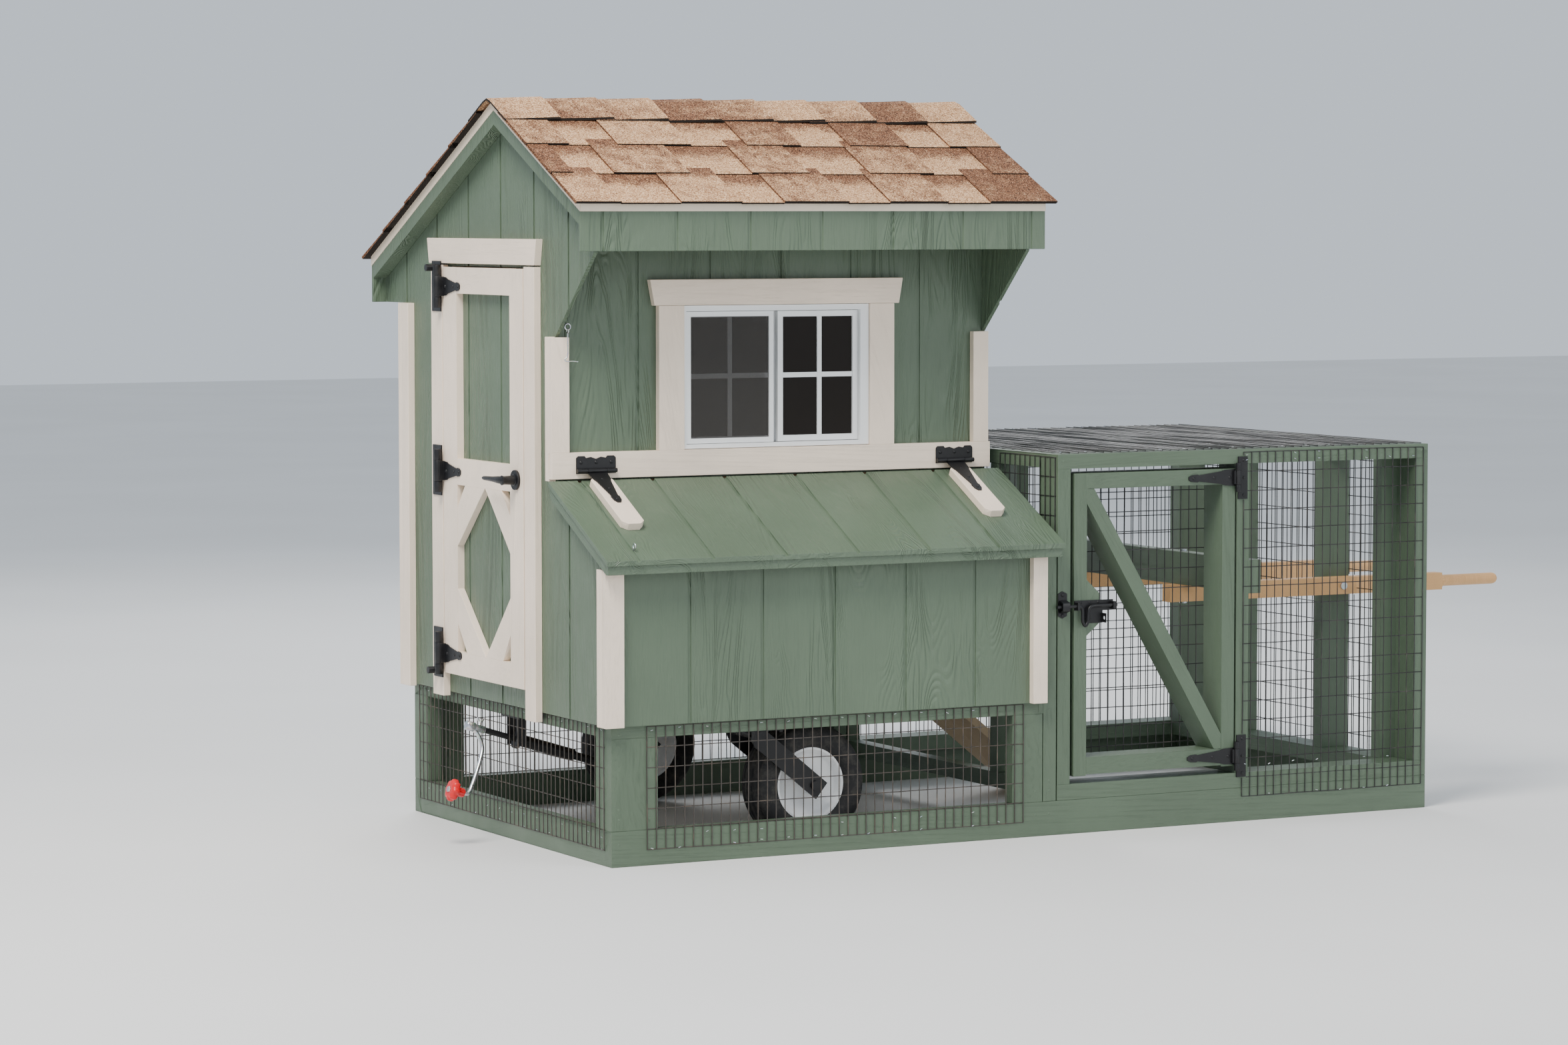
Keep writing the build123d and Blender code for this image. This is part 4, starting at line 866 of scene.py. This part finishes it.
def make_crank():
    """The hand crank, bent from one rod, its shaft down the jack's line, and its red knob."""
    head_x, head_z = 0.9, 10.05
    foot_x, foot_z = 12.2, 6.5
    pivot = Vector((head_x, 12.0, head_z))
    tilt = math.atan2(head_z - foot_z, foot_x - head_x)
    forward = Vector((math.cos(tilt), 0, -math.sin(tilt)))
    rise = Vector((math.sin(tilt), 0, math.cos(tilt)))
    turn = math.radians(22)
    aside = rise * math.cos(turn) + Vector((0, 1, 0)) * math.sin(turn)

    def local(x, z):
        return pivot + forward * x + aside * z

    grip = -7.2
    rod = Piece()
    bends = [(-5.3, 0.0), (-4.95, -0.25), (-4.35, -0.75), (-3.78, -1.85), (-3.82, -3.0), (-4.1, -4.6),
             (-4.5, -6.3), (-4.7, -6.9), (-5.15, grip), (-7.1, grip)]
    rod.tube(smooth_path([local(x, z) for x, z in bends]), 0.2, 14)
    rod.tube([local(-5.85, 0), local(-5.8, 0), local(-4.95, 0), local(-4.9, 0)], [0.44, 0.48, 0.48, 0.44], 28)
    rod.tube([local(-5.0, 0), local(-3.75, 0), local(-3.7, 0)], [0.37, 0.37, 0.34], 28)
    rod.tube([local(-4.3, 0.2), local(-4.3, 0.95)], 0.12, 10)
    for side in (-1, 1):
        wing = [local(-4.3, 0.72), local(-4.3 + side * 0.2, 0.88), local(-4.3 + side * 0.36, 1.12)]
        rod.tube(wing, [0.1, 0.12, 0.07], 8)
    rod.tube([local(-6.98, grip), local(-7.12, grip)], [0.34, 0.3], 6)
    rod.build("crank_handle", "zinc", "crank", "zinc", 40, ["crank_rod"])
    shaft = Piece()
    shaft.tube([local(-5.0, 0), local(0.5, 0)], 0.3, 20)
    shaft.tube([local(0.4, 0), local(6.4, 0)], 0.2, 16)
    shaft.build("crank_shaft", "black", "crank", "black_steel", 40)
    knob = Piece()
    profile = [(0.0, 0.21), (0.0, 0.38), (0.06, 0.42), (0.75, 0.44), (0.85, 0.6), (0.88, 0.86), (0.95, 1.0),
               (1.1, 1.06), (1.4, 1.06), (1.56, 0.99), (1.66, 0.84), (1.7, 0.6), (1.66, 0.36), (1.66, 0.21)]
    knob.lathe(local(-5.3, grip), -forward, profile, 96, 8, 0.07)
    knob.build("crank_grip", "red", "crank", "red_knob", 50, ["crank_knob"])


# ---------------------------------------------------------------- window screen, lid hook, latch, screws
def make_screen():
    """The fly screen over the window's left half: a vinyl rim, and cloth inside it."""
    low, high = 40.25, 53.4
    left, right = 13.8, 23.6
    front, back = -0.78, -0.5
    bar = 0.5
    rim = Piece()
    rim.box(left, right, front, back, low, low + bar)
    rim.box(left, right, front, back, high - bar, high)
    rim.box(left, left + bar, front, back, low + bar, high - bar)
    rim.box(right - bar, right, front, back, low + bar, high - bar)
    rim.build("screen_frame", "vinyl", "coop", "white_vinyl", None, ["window_screen"])
    cloth = Piece()
    cloth.box(left + bar, right - bar, -0.65, -0.64, low + bar, high - bar)
    cloth.build("screen_mesh", "screen", "coop", "fly_screen")


def ring_points(centre, axis, radius):
    """The points of a full circle, for the path of a bent ring."""
    steps = 28
    centre, axis = Vector(centre), Vector(axis)
    side = Vector((0, 0, 1))
    other = axis.cross(side)
    angles = [2 * math.pi * i / steps for i in range(steps + 1)]
    return [centre + (side * math.cos(t) + other * math.sin(t)) * radius for t in angles]


def make_lid_hook():
    """The eye screwed into the wall, and the hook that hangs from it and holds the lid open."""
    x, y = 0.45, -1.5
    eye = Piece()
    eye.tube(ring_points((x, y, 52.1), (0, 1, 0), 0.3), 0.06, 10)
    eye.tube([(x, -SIDING, 52.4), (x, y, 52.4)], 0.07, 10)
    eye.build("hook_eye", "zinc", "coop", "zinc", 60)
    hook = Piece()
    hook.tube(ring_points((x, y, 51.7), (1, 0, 0), 0.22), 0.05, 10)
    path = [(x, y, 51.48), (x, y, 50.4), (x, y, 49.5), (x - 0.12, y, 49.1), (x - 0.3, y, 48.95),
            (x - 0.28, y, 48.76), (x, y, 48.7), (x + 0.55, y, 48.72), (x + 1.1, y, 48.66)]
    hook.tube(smooth_path(path, 4), 0.06, 10)
    hook.build("gate_hook", "zinc", "lid_hook", "zinc", 60, ["lid_hook"])


def make_latch():
    """The run door's sliding bolt with its bent loop, and the keeper whose strap bridges the bolt."""
    keeper = Piece()
    outline = [(50.25, 22.35), (50.77, 22.1), (51.3, 22.35), (51.3, 24.62), (50.77, 24.87), (50.25, 24.62)]
    keeper.loft([[(a, y, b) for a, b in outline] for y in (-12.1, -12.0)])
    strap = [(-12.1, 23.98), (-12.16, 23.92), (-12.78, 23.74), (-12.84, 23.66),
             (-12.84, 22.94), (-12.78, 22.86), (-12.16, 22.68), (-12.1, 22.62)]
    inner = [(-12.1, 23.8), (-12.7, 23.62), (-12.74, 23.58), (-12.74, 23.02), (-12.7, 22.98), (-12.1, 22.8)]
    section = strap + list(reversed(inner))
    keeper.loft([[(a, y, z) for y, z in section] for a in (50.4, 51.25)])
    for z in (22.4, 24.5):
        keeper.head((50.77, -12.1, z), (0, -1, 0), 0.2, 0.09)
    keeper.build("latch_keeper", "black", "coop", "black_steel", 40, ["catch_keepers"])
    bolt = Piece()
    path = [(49.9, 23.3), (51.0, 23.3), (52.3, 23.3), (52.75, 23.2), (52.93, 22.85), (52.96, 22.2),
            (52.98, 21.7), (53.28, 21.3), (53.56, 21.7), (53.6, 22.3), (53.68, 22.9), (53.95, 23.22),
            (54.4, 23.3), (55.6, 23.3), (57.0, 23.3)]
    bolt.tube(smooth_path([(a, -12.45, z) for a, z in path], 5), 0.18, 14)
    bolt.build("latch_slide_bolt", "black", "latch", "black_steel", 60, ["latch_bolt"])


def make_screws():
    """Screw heads on hinges, latch, boards and trim, one piece for each body."""
    out_front, out_left = (0, -1, 0), (-1, 0, 0)
    still, door, run, lid, wood = Piece(), Piece(), Piece(), Piece(), Piece()
    for z in DOOR_HINGE_Z:
        for dz in (-1.9, 0.0, 1.9):
            still.head((-1.27, 26.55, z + dz), out_left, 0.19, 0.09)
        for y in (24.5, 22.6, 21.35):
            door.head((-1.27, y, z), out_left, 0.17, 0.09)
    for x in LID_HINGE_X:
        for dx in (-1.65, 0.0, 1.65):
            still.head((x + dx, -1.27, 38.72), out_front, 0.17, 0.08)
        for down in (1.3, 3.1, 5.1):
            foot = Vector((x, -1.1, 37.0)) - Vector(LID_UP_SLOPE) * down + Vector(LID_OUT) * 0.87
            lid.head(foot, LID_OUT, 0.15, 0.07)
    for z in RUN_LEAF_Z:
        for dz in (-1.8, 0.0, 1.8):
            still.head((72.65, -12.12, z + dz), out_front, 0.17, 0.08)
    for z in RUN_STRAP_Z:
        for x in (70.9, 69.0, 66.5):
            run.head((x, -12.12, z), out_front, 0.17, 0.08)
    for x, z in ((52.95, 23.62), (54.0, 23.62), (55.0, 23.62), (54.0, 21.9)):
        run.head((x, -12.1, z), out_front, 0.13, 0.07)
    still.build("hinge_screws", "black", "coop", "black_steel", 50)
    door.build("door_hinge_screws", "black", "house_door", "black_steel", 50)
    run.build("run_door_screws", "black", "run_door", "black_steel", 50)
    lid.build("lid_strap_screws", "black", "nest_lid", "black_steel", 50)
    for x in (0.8, 4.1, 46.2, 47.7, 49.3, 73.0, 95.2):
        for z in (2.2, 4.6):
            wood.head((x, FRONT, z), out_front, 0.14, 0.02)
    for z in (5.6, 12.9):
        wood.head((0.8, FRONT, z), out_front, 0.14, 0.02)
        wood.head((49.3, FRONT, z), out_front, 0.14, 0.02)
    for x in (50.9, 73.0, 95.2):
        wood.head((x, FRONT, 38.1), out_front, 0.14, 0.02)
    for y in (-10.6, -9.2, 33.2, 34.6):
        for z in (2.0, 4.4, 11.8, 13.2):
            wood.head((0.0, y, z), out_left, 0.14, 0.02)
    wood.build("frame_screws", "timber", "coop", "green_timber", 50)


# ---------------------------------------------------------------- stage, light and camera
def make_stage():
    bpy.ops.mesh.primitive_plane_add(size=60, location=(0, 0, 0))
    floor = bpy.context.object
    floor.name = "studio_floor"
    s = Shader("studio_floor", 0.85)
    tone = s.ramp(s.noise(s.place, 0.6, 2), [(0.3, (0.72, 0.72, 0.71)), (0.7, (0.76, 0.76, 0.75))])
    floor.data.materials.append(s.finish(tone))

    world = bpy.data.worlds.new("studio")
    bpy.context.scene.world = world
    world.use_nodes = True
    back = world.node_tree.nodes["Background"]
    back.inputs["Color"].default_value = (0.86, 0.95, 1.06, 1)
    back.inputs["Strength"].default_value = 0.80

    def lamp(name, place, target, size, power, colour):
        data = bpy.data.lights.new(name, "AREA")
        data.shape = "DISK"
        data.size = size
        data.energy = power
        data.color = colour
        obj = bpy.data.objects.new(name, data)
        obj.location = place
        obj.rotation_euler = (Vector(target) - Vector(place)).to_track_quat("-Z", "Y").to_euler()
        bpy.context.scene.collection.objects.link(obj)

    lamp("key", (-4.3, -2.9, 6.6), (0, 0, 0.8), 3.4, 740, (1.0, 0.955, 0.90))
    lamp("fill", (3.5, -7.0, 3.4), (0, 0, 0.7), 4.0, 115, (1.0, 0.985, 0.96))
    lamp("back", (1.5, 6.0, 5.5), (0, 0, 1.0), 3.5, 240, (1.0, 1.0, 1.0))


def make_camera():
    data = bpy.data.cameras.new("camera")
    data.lens = 104.5
    data.sensor_width = 36.0
    data.clip_end = 200.0
    camera = bpy.data.objects.new("camera", data)
    camera.location = at(-189.04, -406.02, 63.44)
    pitch, yaw, roll = 3.92, 27.82, 0.03
    camera.rotation_euler = (math.radians(90 - pitch), math.radians(roll), math.radians(-yaw))
    bpy.context.scene.collection.objects.link(camera)
    bpy.context.scene.camera = camera


dress_frame()
make_wires()
make_shingles()
make_lid()
make_door_handle()
make_wheels()
make_crank()
make_screen()
make_lid_hook()
make_latch()
make_screws()
make_stage()
make_camera()
